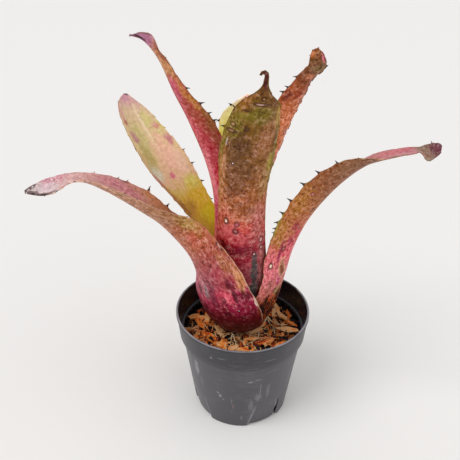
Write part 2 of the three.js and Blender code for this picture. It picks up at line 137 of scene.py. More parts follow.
# Pale roots and a forked twig on top of the mix, as points (x, y), and which of them are stout
PALE_ROOTS = [[(22, 22), (24, 14), (27, 9), (31, 4.5), (36, 3), (42, 4)],
    [(23, 15), (21, 6), (18, 0), (13, -5), (6, -8), (-4, -8.5)],
    [(24, 12), (25, 5), (28, 2), (30, -4), (29, -10)], [(14, -5), (16, -10), (14, -16), (9, -21), (2, -25)],
    [(-10, -5), (-9, -10), (-7.5, -15), (-6.5, -20), (-5.5, -27)],
    [(-9, -9), (-10, -15), (-10.2, -19), (-10.4, -22), (-10.5, -26)]]
STOUT_ROOTS = (0, 1, 4)

# Plant: everything is measured from the collar, the point where the stem leaves the mix
COLLAR = Vector((-3, 6, 81))
STEM_RADIUS = 9
STEM_DEPTH = 24
BELLY_SWELL = 31
BELLY_HEIGHT = 60
BELLY_TAPER = 1.25
SHEATH_PITCH = 2.4
SHEATH_ROWS = 8
LEAF_THICKNESS = 1.2
MARGIN_THICKNESS = 0.85
ROW_STEP = 1.6
LEAF_COLUMNS = 36
SMALLEST_HALF_WIDTH = 0.4
SPINE_LENGTH = 4.1
SPINE_LEAN = -0.1
SPINE_SINK = 0.8
# Steps up one spine, 1 high: rise, narrowing and lean to its hooked side
SPINE_STEPS = [(0.22, 0.52, 0), (0.22, 0.62, -0.03), (0.26, 0.7, -0.06), (0.2, 0.5, -0.08)]
SPACING_SETTLES = 70
BARE_TIP = 6
# Where a spine stands, its margin swells out to its foot; elsewhere it's trimmed and wavy
TOOTH_RISE = 1.1
TOOTH_WIDTH = 1.3
MARGIN_TRIM = 0.4
EDGE_CROWDING = 1.3
# The margin's waves: (depth, pace, shift on the second margin); they fade where the leaf is narrow
MARGIN_WAVES = [(0.25, 0.37, 2), (0.2, 0.83, 0)]
WAVE_FADE = 12
RIB_DEPTH = 0.1
RIB_PITCH = 1.3
RIB_FADE = 60
CURL_GROWTH = 1.4
TABLE_STEPS = 400
NUDGE = 0.001
# Marks on one face of a leaf don't reach the other, and each face of each leaf has its own noise
FACE_CLOSENESS = 4
FACE_STEP = 3.7
FIRST_SKIN = 1.7
SKIN_STEP = 2.3
SCAR_RING = "#3a110c"
# Dead fibres over the foot of one leaf: how many, between which columns of its grid, where they start
# and between which heights they end
DEAD_SHEATH_LEAF = "leaf_arching_right"
DEAD_SEED = 61
DEAD_FIBRES = 90
DEAD_COLUMNS = (4.5, 14.5)
DEAD_FOOT = 16
DEAD_TOPS = (44, 64)
# Surface roots run out from the stem, each with one thinner branch
ROOT_BEARINGS = [-112, -84, -52, -34, -12, 40]
ROOT_LENGTHS = [30, 27, 34, 30, 36, 30]
ROOT_STEPS = 8
ROOT_SEED = 5
# Each leaf adds its number to these
BLADE_SEED = 20
SPINE_SEED = 40

# Each leaf: the bearing of its sheath, its layer counted from the outside, how far up the belly the
# sheath reaches, how far round it wraps on each side, where its spines start, their first and last
# spacing, and the stations of its blade: (bearing, out, up, half width, fold, twist).
LEAVES = {
    "leaf_arching_left": dict(
        bearing=212, layer=0, reach=78, wrap=(112, 110, 105, 95, 84), spines_from=118, spacing=(14, 20),
        blade=[(205.5, 39.5, 65, 54, 75, -2), (197, 45.5, 84.5, 49, 67, 7), (190, 61.5, 107, 37, 63, 24),
               (190, 84, 129.5, 27.5, 58, 11), (188.5, 110.5, 149, 22, 41, 12),
               (187, 130.5, 156.5, 14.5, 27, 13), (187.5, 153, 152, 11.5, 19, -10),
               (188, 172.5, 150.5, 3, 20, -11)]),
    "leaf_arching_right": dict(
        bearing=345, layer=1, reach=78, wrap=(105, 100, 90, 75, 60), spines_from=106, spacing=(5, 20),
        blade=[(349.5, 40.5, 66.5, 32, 51, -9), (349.5, 44, 88.5, 28, 53, -21),
               (350.5, 54.5, 117, 26.5, 64, -28), (351, 72, 145.5, 25.5, 69, -33),
               (350, 91.5, 168, 19.5, 56, -32), (350, 111, 179.5, 14, 30, -12),
               (351, 136, 187.5, 9.5, 19, -8), (349, 151.5, 192.5, 5.5, 12, 14)]),
    "leaf_back_left": dict(
        bearing=138, layer=2, reach=70, wrap=(100, 98, 92, 80, 66), spines_from=98, spacing=(17, 20),
        blade=[(140, 36, 63.5, 33, 53, 10), (141.5, 43.5, 88.5, 26, 44, 19), (141, 63, 112, 24, 33, 11),
               (141.5, 86.5, 136.5, 24.5, 27, 0), (141.5, 110, 158.5, 22, 25, 3),
               (140, 129.5, 176, 15.5, 23, 4), (137.5, 142.5, 186.5, 3, 20, 3)]),
    "leaf_front": dict(
        bearing=268, layer=3, reach=80, wrap=(100, 95, 85, 72, 60), spines_from=200, spacing=(11, 15),
        blade=[(270, 30, 72.5, 28, 62, 0), (269.5, 30, 111, 25, 65, 0), (269, 32.5, 149, 23, 64, -2),
               (277.5, 33.5, 182, 26, 58, -1), (287.5, 35, 211, 24, 51, -1), (292, 37, 229.5, 17, 45, -3),
               (295.5, 35, 240.5, 5, 41, -2), (299.5, 33.5, 254.5, 1, 27, -1)]),
    "leaf_tall_left": dict(
        bearing=188, layer=4, reach=80, wrap=(90, 85, 80, 72, 60), spines_from=182, spacing=(10, 30),
        blade=[(190, 25.5, 70, 27, 56, 0), (190, 21, 100.5, 24, 53, 10), (190, 20.5, 133, 23, 58, 20),
               (189.5, 26, 164, 23, 60, 25), (189.5, 38, 198.5, 20.5, 61, 29), (189, 51.5, 226, 15, 54, 21),
               (188, 62.5, 252, 10, 47, 15), (186.5, 73, 266, 11, 47, 16), (186.5, 83, 270.5, 7, 43, 27)]),
    "leaf_tall_right": dict(
        bearing=325, layer=5, reach=80, wrap=(90, 85, 75, 68, 58), spines_from=200, spacing=(10, 16),
        blade=[(330.5, 23.5, 71, 22, 54, 1), (334.5, 19, 107, 18.5, 48, -8), (337, 18.5, 148.5, 17, 43, -18),
               (340.5, 27, 187.5, 15.5, 40, -31), (343, 37.5, 217, 14.5, 41, -37),
               (341.5, 48, 240.5, 8.5, 35, -41), (338.5, 56.5, 252, 9, 29, -39),
               (336.5, 55, 266, 3.5, 30, -37)]),
    "leaf_back": dict(
        bearing=95, layer=6, reach=80, wrap=(80, 80, 75, 65, 60), spines_from=170, spacing=(12, 15),
        blade=[(93, 24.5, 70.5, 20, 52, 0), (90, 23, 111, 18, 46, 0), (85.5, 23, 151.5, 20, 46, 0),
               (81.5, 23.5, 187, 23, 48, 0), (77, 24.5, 203, 16.5, 46, 0), (73.5, 25, 214.5, 4.5, 40, 0)]),
}


# Small helpers


def lerp(a, b, share):
    return a + (b - a) * share


def smooth(value, low, high):
    share = min(max((value - low) / (high - low), 0), 1)
    return share * share * (3 - 2 * share)


def polar(bearing, out, up=0):
    return Vector((out * math.cos(bearing), out * math.sin(bearing), up))


def twisted(across, inner, angle):
    """Two directions at right angles, both turned in their plane"""
    return (across * math.cos(angle) + inner * math.sin(angle),
            inner * math.cos(angle) - across * math.sin(angle))


def paint(hex_colour):
    """A colour written as it looks, as the linear value that a shader takes"""
    channels = [int(hex_colour[i:i + 2], 16) / 255 for i in (1, 3, 5)]
    return (*(c / 12.92 if c < 0.04045 else ((c + 0.055) / 1.055) ** 2.4 for c in channels), 1)


def put_in_scene(name, data):
    made = bpy.data.objects.new(name, data)
    bpy.context.scene.collection.objects.link(made)
    return made


def mesh_piece(name, verts, faces):
    mesh = bpy.data.meshes.new(name)
    mesh.from_pydata(verts, [], faces)
    return put_in_scene(name, mesh)


def set_values(piece, name, values):
    """Gives each vertex of a piece a named value, or a vector where the values are vectors"""
    if isinstance(values[0], tuple):
        made = piece.data.attributes.new(name, "FLOAT_VECTOR", "POINT")
        made.data.foreach_set("vector", [part for value in values for part in value])
    else:
        piece.data.attributes.new(name, "FLOAT", "POINT").data.foreach_set("value", values)


def set_tone(piece, tone):
    set_values(piece, "tone", [tone] * len(piece.data.vertices))


def deselect_all():
    bpy.ops.object.select_all(action="DESELECT")


def only(piece):
    deselect_all()
    piece.select_set(True)
    bpy.context.view_layer.objects.active = piece


@contextlib.contextmanager
def editing():
    """Edit mode on the active piece, with all of it selected"""
    bpy.ops.object.mode_set(mode="EDIT")
    bpy.ops.mesh.select_all(action="SELECT")
    yield
    bpy.ops.object.mode_set(mode="OBJECT")


def face_outward():
    with editing():
        bpy.ops.mesh.normals_make_consistent(inside=False)


def settle(piece, name):
    """Names a piece and puts its place in its mesh"""
    only(piece)
    bpy.ops.object.transform_apply(location=True, rotation=True, scale=True)
    piece.name = name
    piece.data.name = name


def finish_piece(piece, material, node):
    piece.data.materials.clear()
    piece.data.materials.append(material)
    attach(piece, "root")
    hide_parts(node)


def joined(pieces, name):
    deselect_all()
    for piece in pieces:
        piece.select_set(True)
    bpy.context.view_layer.objects.active = pieces[0]
    bpy.ops.object.join()
    settle(pieces[0], name)
    return pieces[0]


def copy_of(piece, matrix):
    """A copy of a piece with its own mesh, moved by the matrix"""
    mesh = piece.data.copy()
    mesh.transform(matrix)
    return put_in_scene(piece.name, mesh)


def turned(name, profile, sides, centre=Vector()):
    """A closed round body through rings of (radius, height), which start at its underside"""
    deselect_all()
    bpy.ops.mesh.primitive_circle_add(vertices=sides, radius=profile[0][0] * MM, fill_type="NGON",
                                      location=(centre + UP * profile[0][1]) * MM)
    body = bpy.context.object
    with editing():
        bpy.ops.mesh.select_mode(type="EDGE")
        bpy.ops.mesh.select_all(action="SELECT")
        bpy.ops.mesh.region_to_loop()
        for (r0, z0), (r1, z1) in zip(profile, profile[1:]):
            bpy.ops.mesh.extrude_edges_move(TRANSFORM_OT_translate={"value": (0, 0, (z1 - z0) * MM)})
            bpy.ops.transform.resize(value=(r1 / r0, r1 / r0, 1), center_override=(centre + UP * z1) * MM)
        bpy.ops.mesh.edge_face_add()
    face_outward()
    settle(body, name)
    return body


# Camera, light and floor


def place_camera():
    camera = put_in_scene("camera", bpy.data.cameras.new("camera"))
    camera.data.sensor_width = SENSOR_WIDTH
    camera.data.lens = SENSOR_WIDTH * FOCAL_SHARE
    ahead = Vector((0, math.cos(CAMERA_PITCH), -math.sin(CAMERA_PITCH)))
    level = Vector((1, 0, 0))
    right, top = twisted(level, level.cross(ahead), CAMERA_ROLL)
    turn = Matrix((right, top, -ahead)).transposed().to_4x4()
    camera.matrix_world = Matrix.Translation(CAMERA_PLACE) @ turn
    bpy.context.scene.camera = camera


def wide_light(name, place, angle, strength):
    """A far soft light that shines from the place towards the plant"""
    lamp = put_in_scene(name, bpy.data.lights.new(name, "SUN"))
    lamp.data.angle = math.radians(angle)
    lamp.data.energy = strength
    lamp.location = place
    lamp.rotation_euler = Vector(place).to_track_quat("Z", "Y").to_euler()


def light_the_studio():
    wide_light("key", (-0.9, -0.6, 1.5), 35, 1.15)
    wide_light("fill", (0.9, -0.5, 1.1), 60, 0.35)
    world = bpy.data.worlds.new("studio")
    bpy.context.scene.world = world
    world.use_nodes = True
    fill(world.node_tree.nodes["Background"], {"Color": "#fbfbfd", "Strength": 0.62})
    bpy.context.scene.view_settings.view_transform = "Standard"


def lay_the_floor():
    bpy.ops.mesh.primitive_plane_add(size=FLOOR_SIZE)
    floor = bpy.context.object
    floor.name = "floor"
    material, _, shader = new_material("pale_floor")
    fill(shader, {"Base Color": "#f6f4f1", "Roughness": 0.6})
    floor.data.materials.append(material)


# Shader building blocks


class Value:
    """An output of a shader node, which sums can be written with"""

    def __init__(self, socket):
        self.socket = socket
        self.tree = socket.id_data

    def __add__(self, other):
        return maths("ADD", self, other)

    def __sub__(self, other):
        return maths("SUBTRACT", self, other)

    def __rsub__(self, other):
        return maths("SUBTRACT", other, self)

    def __mul__(self, other):
        return maths("MULTIPLY", self, other)


def fill(node, inputs):
    """Links each input of a node to its value, or sets it, where the value is a number or a colour"""
    for key, value in inputs.items():
        if isinstance(value, Value):
            node.id_data.links.new(value.socket, node.inputs[key])
        else:
            node.inputs[key].default_value = paint(value) if isinstance(value, str) else value


def add(tree, kind, output, inputs=None, **settings):
    """One output of a new node, or several, with its settings made and its inputs filled"""
    made = tree.nodes.new("ShaderNode" + kind)
    for name, value in settings.items():
        setattr(made, name, value)
    fill(made, inputs or {})
    if isinstance(output, tuple):
        return [Value(made.outputs[key]) for key in output]
    return Value(made.outputs[output])


def maths(operation, *values):
    tree = next(value.tree for value in values if isinstance(value, Value))
    return add(tree, "Math", 0, dict(enumerate(values)), operation=operation)


def stretch(place, scale):
    scale = (scale, scale, scale) if isinstance(scale, int) else scale
    return add(place.tree, "VectorMath", 0, {0: place, 1: scale}, operation="MULTIPLY")


def noise(place, scale, detail=3, roughness=0.55):
    return add(place.tree, "TexNoise", "Fac", {"Vector": stretch(place, scale), "Scale": 1, "Detail": detail,
                                               "Roughness": roughness})


def ramp_up(value, low, high):
    """0 below low, 1 above high, smooth between"""
    return add(value.tree, "MapRange", 0, {"Value": value, "From Min": low, "From Max": high},
               interpolation_type="SMOOTHSTEP")


def ramp_down(value, low, high):
    return 1 - ramp_up(value, low, high)


def blend(share, a, b, how="MIX"):
    return add(share.tree, "Mix", 2, {0: share, 6: a, 7: b}, data_type="RGBA", blend_type=how)


def stops(value, colours):
    """A colour ramp through (share, colour) stops"""
    made = value.tree.nodes.new("ShaderNodeValToRGB")
    fill(made, {"Fac": value})
    ramp = made.color_ramp
    while len(ramp.elements) > 1:
        ramp.elements.remove(ramp.elements[-1])
    for i, (share, colour) in enumerate(colours):
        stop = ramp.elements[0] if i == 0 else ramp.elements.new(share)
        stop.position = share
        stop.color = paint(colour)
    return Value(made.outputs["Color"])


def bumped(height, distance, strength):
    return add(height.tree, "Bump", 0, {"Height": height, "Distance": distance, "Strength": strength})


def attribute(tree, name, output="Fac"):
    return add(tree, "Attribute", output, attribute_name=name)


def object_place(tree):
    return add(tree, "TexCoord", "Object")


def parts_of(vector):
    return add(vector.tree, "SeparateXYZ", (0, 1, 2), {0: vector})


def socket_kind(label):
    if label.endswith(("Colour", "Tint")):
        return "NodeSocketColor"
    return "NodeSocketVector" if label in ("Place", "Centre", "Closeness") else "NodeSocketFloat"


def new_group(name, inputs, outputs):
    """A shader node group with named sockets: its tree, its input values and its output node"""
    tree = bpy.data.node_groups.new(name, "ShaderNodeTree")
    for way, labels in (("INPUT", inputs), ("OUTPUT", outputs)):
        for label in labels:
            tree.interface.new_socket(label, in_out=way, socket_type=socket_kind(label))
    entry = tree.nodes.new("NodeGroupInput")
    given = {label: Value(entry.outputs[label]) for label in inputs}
    return tree, given, tree.nodes.new("NodeGroupOutput")


def new_material(name):
    material = bpy.data.materials.new(name)
    material.use_nodes = True
    return material, material.node_tree, material.node_tree.nodes["Principled BSDF"]


# Leaf skin


def skin_group():
    """Leaf skin: blotches, mottling, lengthwise streaks, dark pepper and pale scurf over a colour"""
    tree, given, result = new_group(
        "leaf_skin", ("Place", "Colour", "Dark Tint", "Light Tint", "Blotch Colour", "Blotches", "Mottling",
                      "Pepper", "Scurf"), ("Colour", "Height", "Roughness"))
    place, mottling, pepper = given["Place"], given["Mottling"], given["Pepper"]
    mottle = noise(place, (320, 295, 1), 5, 0.68)
    cloud = noise(place, (95, 60, 1), 3, 0.6)
    grain = noise(place, (820, 42, 1), 3, 0.6)
    fine = noise(place, (640, 560, 1), 3, 0.65)
    scales = noise(place, (640, 560, 1), 3, 0.7)
    islands = noise(place, (75, 48, 1), 4, 0.6)
    shore = 0.78 - given["Blotches"] * 0.42
    inland = maths("DIVIDE", (mottle - 0.5) * 0.3 + islands - shore, 0.07)
    blotch = add(tree, "Clamp", 0, {"Value": inland})
    colour = blend(blotch * 0.8, given["Colour"], given["Blotch Colour"])
    swing = (0.5 - mottle) * (mottling * (ramp_up(cloud, 0.25, 0.62) * 0.6 + 0.5))
    colour = add(tree, "HueSaturation", 0, {"Value": swing * 3.4 + 1, "Saturation": swing * -1.3 + 1,
                                            "Color": colour})
    colour = blend(ramp_up(swing, 0.02, 0.12) * 0.22, colour, given["Light Tint"])
    colour = blend(ramp_up(grain, 0.52, 0.66) * (mottling * 0.28), colour, given["Dark Tint"], "MULTIPLY")
    dusting = ramp_up(fine, 0.53, 0.66) * pepper * ramp_up(cloud, 0.2, 0.55)
    colour = blend(dusting, colour, "#9a5648", "MULTIPLY")
    distance, lot = add(tree, "TexVoronoi", ("Distance", "Color"), {
        "Vector": stretch(place, (320, 290, 1)), "Scale": 1})
    chosen = maths("GREATER_THAN", add(tree, "SeparateColor", 0, {0: lot}), 0.55)
    specks = ramp_down(distance, 0.14, 0.3) * chosen * pepper
    colour = blend(specks * 0.75, colour, "#45170f")
    colour = blend(ramp_up(scales, 0.5, 0.62) * given["Scurf"], colour, "#dfd3cb")
    fill(result, {"Colour": colour, "Height": grain * 0.7 + fine * 0.3 + mottle,
                  "Roughness": mottle * 0.35 + 0.3})
    return tree


def mark_group(name, *looks):
    """A group for marks at a set place, with the distance from the centre, roughened: 1 at the edge"""
    tree, given, result = new_group(name, ("Place", "Centre", "Closeness", "Raggedness", "Colour", *looks),
                                    ("Colour",))
    away = add(tree, "VectorMath", 0, {0: given["Place"], 1: given["Centre"]}, operation="SUBTRACT")
    length = add(tree, "VectorMath", "Value", {0: stretch(away, given["Closeness"])}, operation="LENGTH")
    return tree, given, result, length + given["Raggedness"]


def patch_group():
    """A ragged soft-edged patch of another colour"""
    tree, given, result, distance = mark_group("placed_patch", "Patch Colour", "Amount")
    share = ramp_down(distance, 0.45, 1.25) * given["Amount"]
    fill(result, {"Colour": blend(share, given["Colour"], given["Patch Colour"])})
    return tree


def scar_group():
    """An old scar: a pale core in a dark ring"""
    tree, given, result, distance = mark_group("old_scar", "Core Colour", "Ring Colour")
    colour = blend(ramp_down(distance, 1, 1.4) * 0.7, given["Colour"], given["Ring Colour"])
    fill(result, {"Colour": blend(ramp_down(distance, 0.25, 0.65), colour, given["Core Colour"])})
    return tree


def lay_mark(group, spot, raggedness, colour, size, looks):
    """The colour with one mark over it; its size is (face, across, along, half width, half length)"""
    face, x, y, half_width, half_length = size
    return add(spot.tree, "Group", "Colour", {
        "Place": spot, "Raggedness": raggedness, "Colour": colour, "Centre": (x * MM, y * MM, face),
        "Closeness": (1 / (half_width * MM), 1 / (half_length * MM), FACE_CLOSENESS), **looks},
        node_tree=group)


def lay_patches(spot, raggedness, colour, patches):
    for *size, tint, amount in patches:
        colour = lay_mark(PATCH, spot, raggedness, colour, size, {"Patch Colour": tint, "Amount": amount})
    return colour


def lay_scars(spot, raggedness, colour, scars):
    """The colour with scars over it, of which those that name no ring have the usual one"""
    for *size, core, ring in ((*scar, SCAR_RING)[:7] for scar in scars):
        colour = lay_mark(SCAR, spot, raggedness, colour, size, {"Core Colour": core, "Ring Colour": ring})
    return colour


def leaf_material(name, seed, outer, inner, tints, amounts, inner_amounts, patches=(), scars=(), glow=0):
    """Leaf skin whose colour follows the leaf: stops from sheath to tip on each face, patches and scars"""
    material, tree, shader = new_material(name)
    spot = attribute(tree, "leaf_place", "Vector")
    x, y, face = parts_of(spot)
    across, along, _ = parts_of(add(tree, "UVMap", 0, uv_map="leaf_share"))
    place = add(tree, "CombineXYZ", 0, {0: x, 1: y, 2: face * FACE_STEP + seed})
    wander = noise(place, (60, 42, 1), 4, 0.6) - 0.5
    reached = wander * 0.2 + along
    colour = blend(face, stops(reached, outer), stops(reached, inner))
    ragged = noise(place, (170, 145, 1), 5, 0.68) - 0.5
    colour = lay_patches(spot, ragged * 2.6, colour, patches)
    levels = [face * (within - out) + out for out, within in zip(amounts, inner_amounts)]
    low = add(tree, "MapRange", 0, {"Value": along, "From Min": 0.22, "From Max": 0.5, "To Min": 1,
                                    "To Max": 0.35})
    dark_tint, light_tint, blotch_colour, edge_tint = tints
    colour, height, roughness = add(tree, "Group", ("Colour", "Height", "Roughness"), {
        "Place": place, "Colour": colour, "Dark Tint": dark_tint, "Light Tint": light_tint,
        "Blotch Colour": blotch_colour, "Blotches": levels[0] * low, "Mottling": levels[1],
        "Pepper": levels[2], "Scurf": levels[3] * ramp_up(along, 0.72, 0.92)}, node_tree=SKIN)
    rim = ramp_up(maths("ABSOLUTE", across - 0.5), 0.468, 0.494) * ramp_up(wander, -0.12, 0.1)
    colour = blend(rim * 0.75, colour, edge_tint)
    colour = lay_scars(spot, ragged * 2.2, colour, scars)
    colour = add(tree, "HueSaturation", 0, {"Saturation": 1.03, "Value": 1.17, "Color": colour})
    fill(shader, {"Base Color": colour, "Roughness": roughness, "Specular IOR Level": 0.25,
                  "Normal": bumped(height, 0.0007, 0.7)})
    # Painted light: a glow in the leaf's own colour, for light that comes through it from behind
    if glow:
        fill(shader, {"Emission Color": colour, "Emission Strength": glow})
    return material


# Other finishes


def pot_material():
    """Dark plastic, dusty and scuffed outside with marks of old drips, with painted light and shade: a
    painted highlight on the left of the wall and along the lip, the band painted darker, a painted shadow
    line under the band, and painted shade that makes it nearly black inside
    """
    material, tree, shader = new_material("pot_plastic")
    place = object_place(tree)
    x, y, z = parts_of(place)
    wall = add(tree, "CombineXYZ", 0, {0: maths("ARCTAN2", y, x) * (MARK_RADIUS * MM), 1: z})
    cloud = noise(place, (30, 30, 22), 5, 0.6)
    scuff = noise(place, (110, 110, 420), 6, 0.7)
    smear = noise(place, (260, 260, 60), 4, 0.6)
    ragged = (noise(place, (330, 330, 240), 4, 0.7) - 0.5) * 3
    dust = ramp_up(cloud * scuff, 0.22, 0.4)
    drips = ramp_up(smear, 0.6, 0.76) * ramp_up(cloud, 0.42, 0.62)
    band = ramp_up(z, (BAND_FOOT - 1) * MM, (BAND_FOOT + 1) * MM)
    # Painted shade: the band is painted darker than the body below it, since less light reaches it
    colour = blend(band, "#48464c", "#302f35")
    colour = blend(dust * 0.3, colour, "#7d7a7c")
    colour = blend(drips * 0.28, colour, "#9a9693")
    # The first of these marks is a painted highlight where the key light falls, the rest are drip marks
    marks = [(0, math.radians(bearing) * MARK_RADIUS, *mark) for bearing, *mark in DRIP_MARKS_AND_HIGHLIGHT]
    colour = lay_patches(wall, ragged, colour, marks)
    # A pale line along the upright edges of the foot panels, broken up by the scuff noise
    pale_edge = attribute(tree, "pale_edge") * ramp_up(scuff, 0.3, 0.5)
    colour = blend(pale_edge * 0.7, colour, "#a5a3a8")
    facing = add(tree, "NewGeometry", "Normal")
    radial = add(tree, "VectorMath", "Value", {0: facing, 1: stretch(place, (1, 1, 0))},
                 operation="DOT_PRODUCT")
    # Painted shade: faces that look inwards are painted nearly black and bluish, with a little dust, for the
    # shade inside the pot
    inside = maths("LESS_THAN", radial, -0.01)
    colour = blend(inside, colour, blend(dust, "#0b111b", "#20252f"))
    # Painted shadow: a near-black line just under the foot of the band, where the band overhangs the body
    from_band = maths("ABSOLUTE", z - (BAND_FOOT - 0.4) * MM)
    colour = blend(ramp_down(from_band, 0.7 * MM, 1.6 * MM) * 0.85, colour, "#161518")
    # Painted highlight: the top of the lip is painted paler, in patches where the cloud noise is high
    lip = ramp_up(z, (POT_HEIGHT - 0.75) * MM, (POT_HEIGHT - 0.3) * MM)
    colour = blend(lip * ramp_up(cloud, 0.3, 0.5), colour, "#8c8b90")
    fill(shader, {"Base Color": colour, "Specular IOR Level": 0.5,
                  "Roughness": dust * 0.2 + (inside * -0.12 + 0.37),
                  "Normal": bumped(noise(place, 900, 3, 0.6), 0.0001, 0.35)})
    return material


def bark_material():
    """Bark from near black through rust to orange, by each chip's own tone, its fibres and damp spots"""
    material, tree, shader = new_material("bark_chips")
    place = object_place(tree)
    fibre = noise(attribute(tree, "grain", "Vector"), (110, 620, 620), 4, 0.7)
    lumps = noise(place, 420, 4, 0.7)
    damp = noise(place, 75, 3, 0.5)
    value = (fibre - 0.49) * 1.7 + (attribute(tree, "tone") * 1.6 - 0.25)
    value = (damp - 0.49) * 1.7 + (lumps - 0.49 + value)
    colour = stops(value, [(0.0, "#0c0402"), (0.2, "#280a04"), (0.34, "#7c2006"), (0.48, "#d04e10"),
                           (0.64, "#fa7a1e"), (0.8, "#ff9030"), (0.95, "#ffa448"), (1.0, "#fcc084")])
    fill(shader, {"Base Color": colour, "Roughness": 0.75, "Normal": bumped(fibre + lumps, 0.0016, 0.9)})
    return material


def root_material():
    material, tree, shader = new_material("pale_roots")
    place = object_place(tree)
    colour = stops(noise(place, 260, 4), [(0.3, "#a4713f"), (0.45, "#e2bd8a"), (0.65, "#f6e3bd")])
    fill(shader, {"Base Color": colour, "Roughness": 0.7, "Normal": bumped(noise(place, 1500), 0.0002, 0.5)})
    return material


def spine_material():
    """Nearly black, but browner at the foot of each spine"""
    material, tree, shader = new_material("dark_spines")
    shade = (noise(object_place(tree), 700) - 0.5) * 0.3 + attribute(tree, "reach")
    colour = stops(shade, [(0.0, "#6a3a22"), (0.15, "#3d1f14"), (0.3, "#1c0e0b"), (1.0, "#0d0706")])
    fill(shader, {"Base Color": colour, "Roughness": 0.45})
    return material


# Leaf shape, by the same rules as in the part's source


def urn_point(angle, inset):
    s, c = math.sin(angle), math.cos(angle)
    n = math.hypot(BELLY_HEIGHT * s, BELLY_SWELL * c)
    return (STEM_RADIUS + BELLY_SWELL * s ** BELLY_TAPER - inset * BELLY_HEIGHT * s / n,
            BELLY_HEIGHT * (1 - c) + inset * BELLY_SWELL * c / n)


def read_evenly(values, share):
    place = share * (len(values) - 1)
    low = min(int(place), len(values) - 2)
    return lerp(values[low], values[low + 1], place - low)


def stations_of(leaf):
    """Stations of the whole leaf: (bearing, out, up, half width, fold, twist, how blade-like)"""
    stations = []
    for i in range(SHEATH_ROWS + 1):
        share = i / SHEATH_ROWS
        out, up = urn_point(math.radians(leaf["reach"]) * share, leaf["layer"] * SHEATH_PITCH)
        wrap = math.radians(read_evenly(leaf["wrap"], share))
        stations.append((math.radians(leaf["bearing"]), out, up, out * wrap, wrap, 0, 0))
    for i, (bearing, out, up, half, fold, twist) in enumerate(leaf["blade"]):
        stations.append((math.radians(bearing), out, up, half, math.radians(fold), math.radians(twist),
                         min(1, (i + 1) / 2)))
    return stations


def station_at(stations, place):
    """Smooth curve through the stations; place counts stations from the base"""
    last = len(stations) - 1
    low = min(int(max(place, 0)), last - 1)
    f = min(place, last) - low
    values = []
    for k, p1 in enumerate(stations[low]):
        p2 = stations[low + 1][k]
        p0 = stations[low - 1][k] if low > 0 else 2 * p1 - p2
        p3 = stations[low + 2][k] if low + 2 <= last else 2 * p2 - p1
        values.append(0.5 * (2 * p1 + (p2 - p0) * f + (2 * p0 - 5 * p1 + 4 * p2 - p3) * f * f
                             + (3 * p1 - p0 - 3 * p2 + p3) * f ** 3))
    return values


def midrib_point(station):
    return COLLAR + polar(*station[:3])


def length_table(stations):
    """Pairs of (length along the midrib, place), in even steps of place"""
    table = [(0, 0)]
    before = midrib_point(stations[0])
    for i in range(1, TABLE_STEPS + 1):
        place = (len(stations) - 1) * i / TABLE_STEPS
        point = midrib_point(station_at(stations, place))
        table.append((table[-1][0] + (point - before).length, place))
        before = point
    return table


def place_at_length(table, length):
    i = next((k for k, (reached, _) in enumerate(table) if reached >= length), len(table) - 1)
    (l0, p0), (l1, p1) = table[max(i, 1) - 1], table[max(i, 1)]
    return lerp(p0, p1, min(1, (length - l0) / (l1 - l0)))


def section_frame(stations, place):
    """Centre, across, inner, half width and fold of one cross-section"""
    bearing, out, up, half, fold, twist, blade_like = station_at(stations, place)
    last = len(stations) - 1
    along = (midrib_point(station_at(stations, min(place + NUDGE, last)))
             - midrib_point(station_at(stations, max(place - NUDGE, 0)))).normalized()
    outward, sideways = twisted(Vector((1, 0, 0)), Vector((0, 1, 0)), bearing)
    inner = along.cross(sideways).normalized()
    across = inner.cross(along)
    inner = (-outward).lerp(inner, blade_like).normalized()
    across = sideways.lerp(across, blade_like).normalized()
    half = max(half, SMALLEST_HALF_WIDTH)
    return midrib_point((bearing, out, up)), *twisted(across, inner, twist), half, fold


def section_point(section, v):
    centre, across, inner, half, fold = section
    bend = half / fold
    return centre + across * (bend * math.sin(fold * v)) + inner * (bend * (1 - math.cos(fold * v)))


def spine_places(leaf, total, look, draw):
    """Each spine as (side, length along the midrib, size); side 0 is the clockwise margin"""
    places = []
    for side in (0, 1):
        if look["spines"][side]:
            places += [(side, at, size) for at, size in look["spines"][side]]
            continue
        at = leaf["spines_from"]
        while at < total - BARE_TIP:
            places.append((side, at + 1.1 + draw.uniform(-2, 2), draw.uniform(0.75, 1.1)))
            at += lerp(*leaf["spacing"], min(1, (at - leaf["spines_from"]) / SPACING_SETTLES))
    return places


def from_tip(tip, back):
    """Width and fold factors, added twist in degrees and sideways shift, at a distance back from the tip"""
    for (b0, *low), (b1, *high) in zip(tip, tip[1:]):
        if back <= b1:
            share = max(0, (back - b0) / (b1 - b0))
            return [lerp(a, b, share) for a, b in zip(low, high)]
    return [1, 1, 0, 0]


def curl_over(points, centre, beyond, start, curl):
    """Bends points that lie beyond the start of the curl round, towards a direction in its cross-section"""
    span, angle, direction = curl
    pivot, across, inner, _, _ = start
    along = across.cross(inner)
    towards, _ = twisted(across, inner, math.radians(direction))
    radius = CURL_GROWTH * span / math.radians(angle)
    turn = CURL_GROWTH * beyond / radius
    rotation = Matrix.Rotation(turn, 3, along.cross(towards))
    middle = pivot + along * (radius * math.sin(turn)) + towards * (radius * (1 - math.cos(turn)))
    return [middle + rotation @ (point - centre) for point in points]


def raise_margins(points, length, half, spines):
    """Moves both margins of a row: up to a spine's foot where one stands, and else gently in and out"""
    for side, edge, inward in ((0, 0, 1), (1, LEAF_COLUMNS, LEAF_COLUMNS - 1)):
        rise = sum(size * math.exp(-((length - at) / TOOTH_WIDTH) ** 2)
                   for where, at, size in spines if where == side)
        wave = sum(depth * math.sin(length * pace + side * shift) for depth, pace, shift in MARGIN_WAVES)
        outward = (points[edge] - points[inward]).normalized()
        points[edge] += outward * (TOOTH_RISE * rise - MARGIN_TRIM + wave * min(1, half / WAVE_FADE))


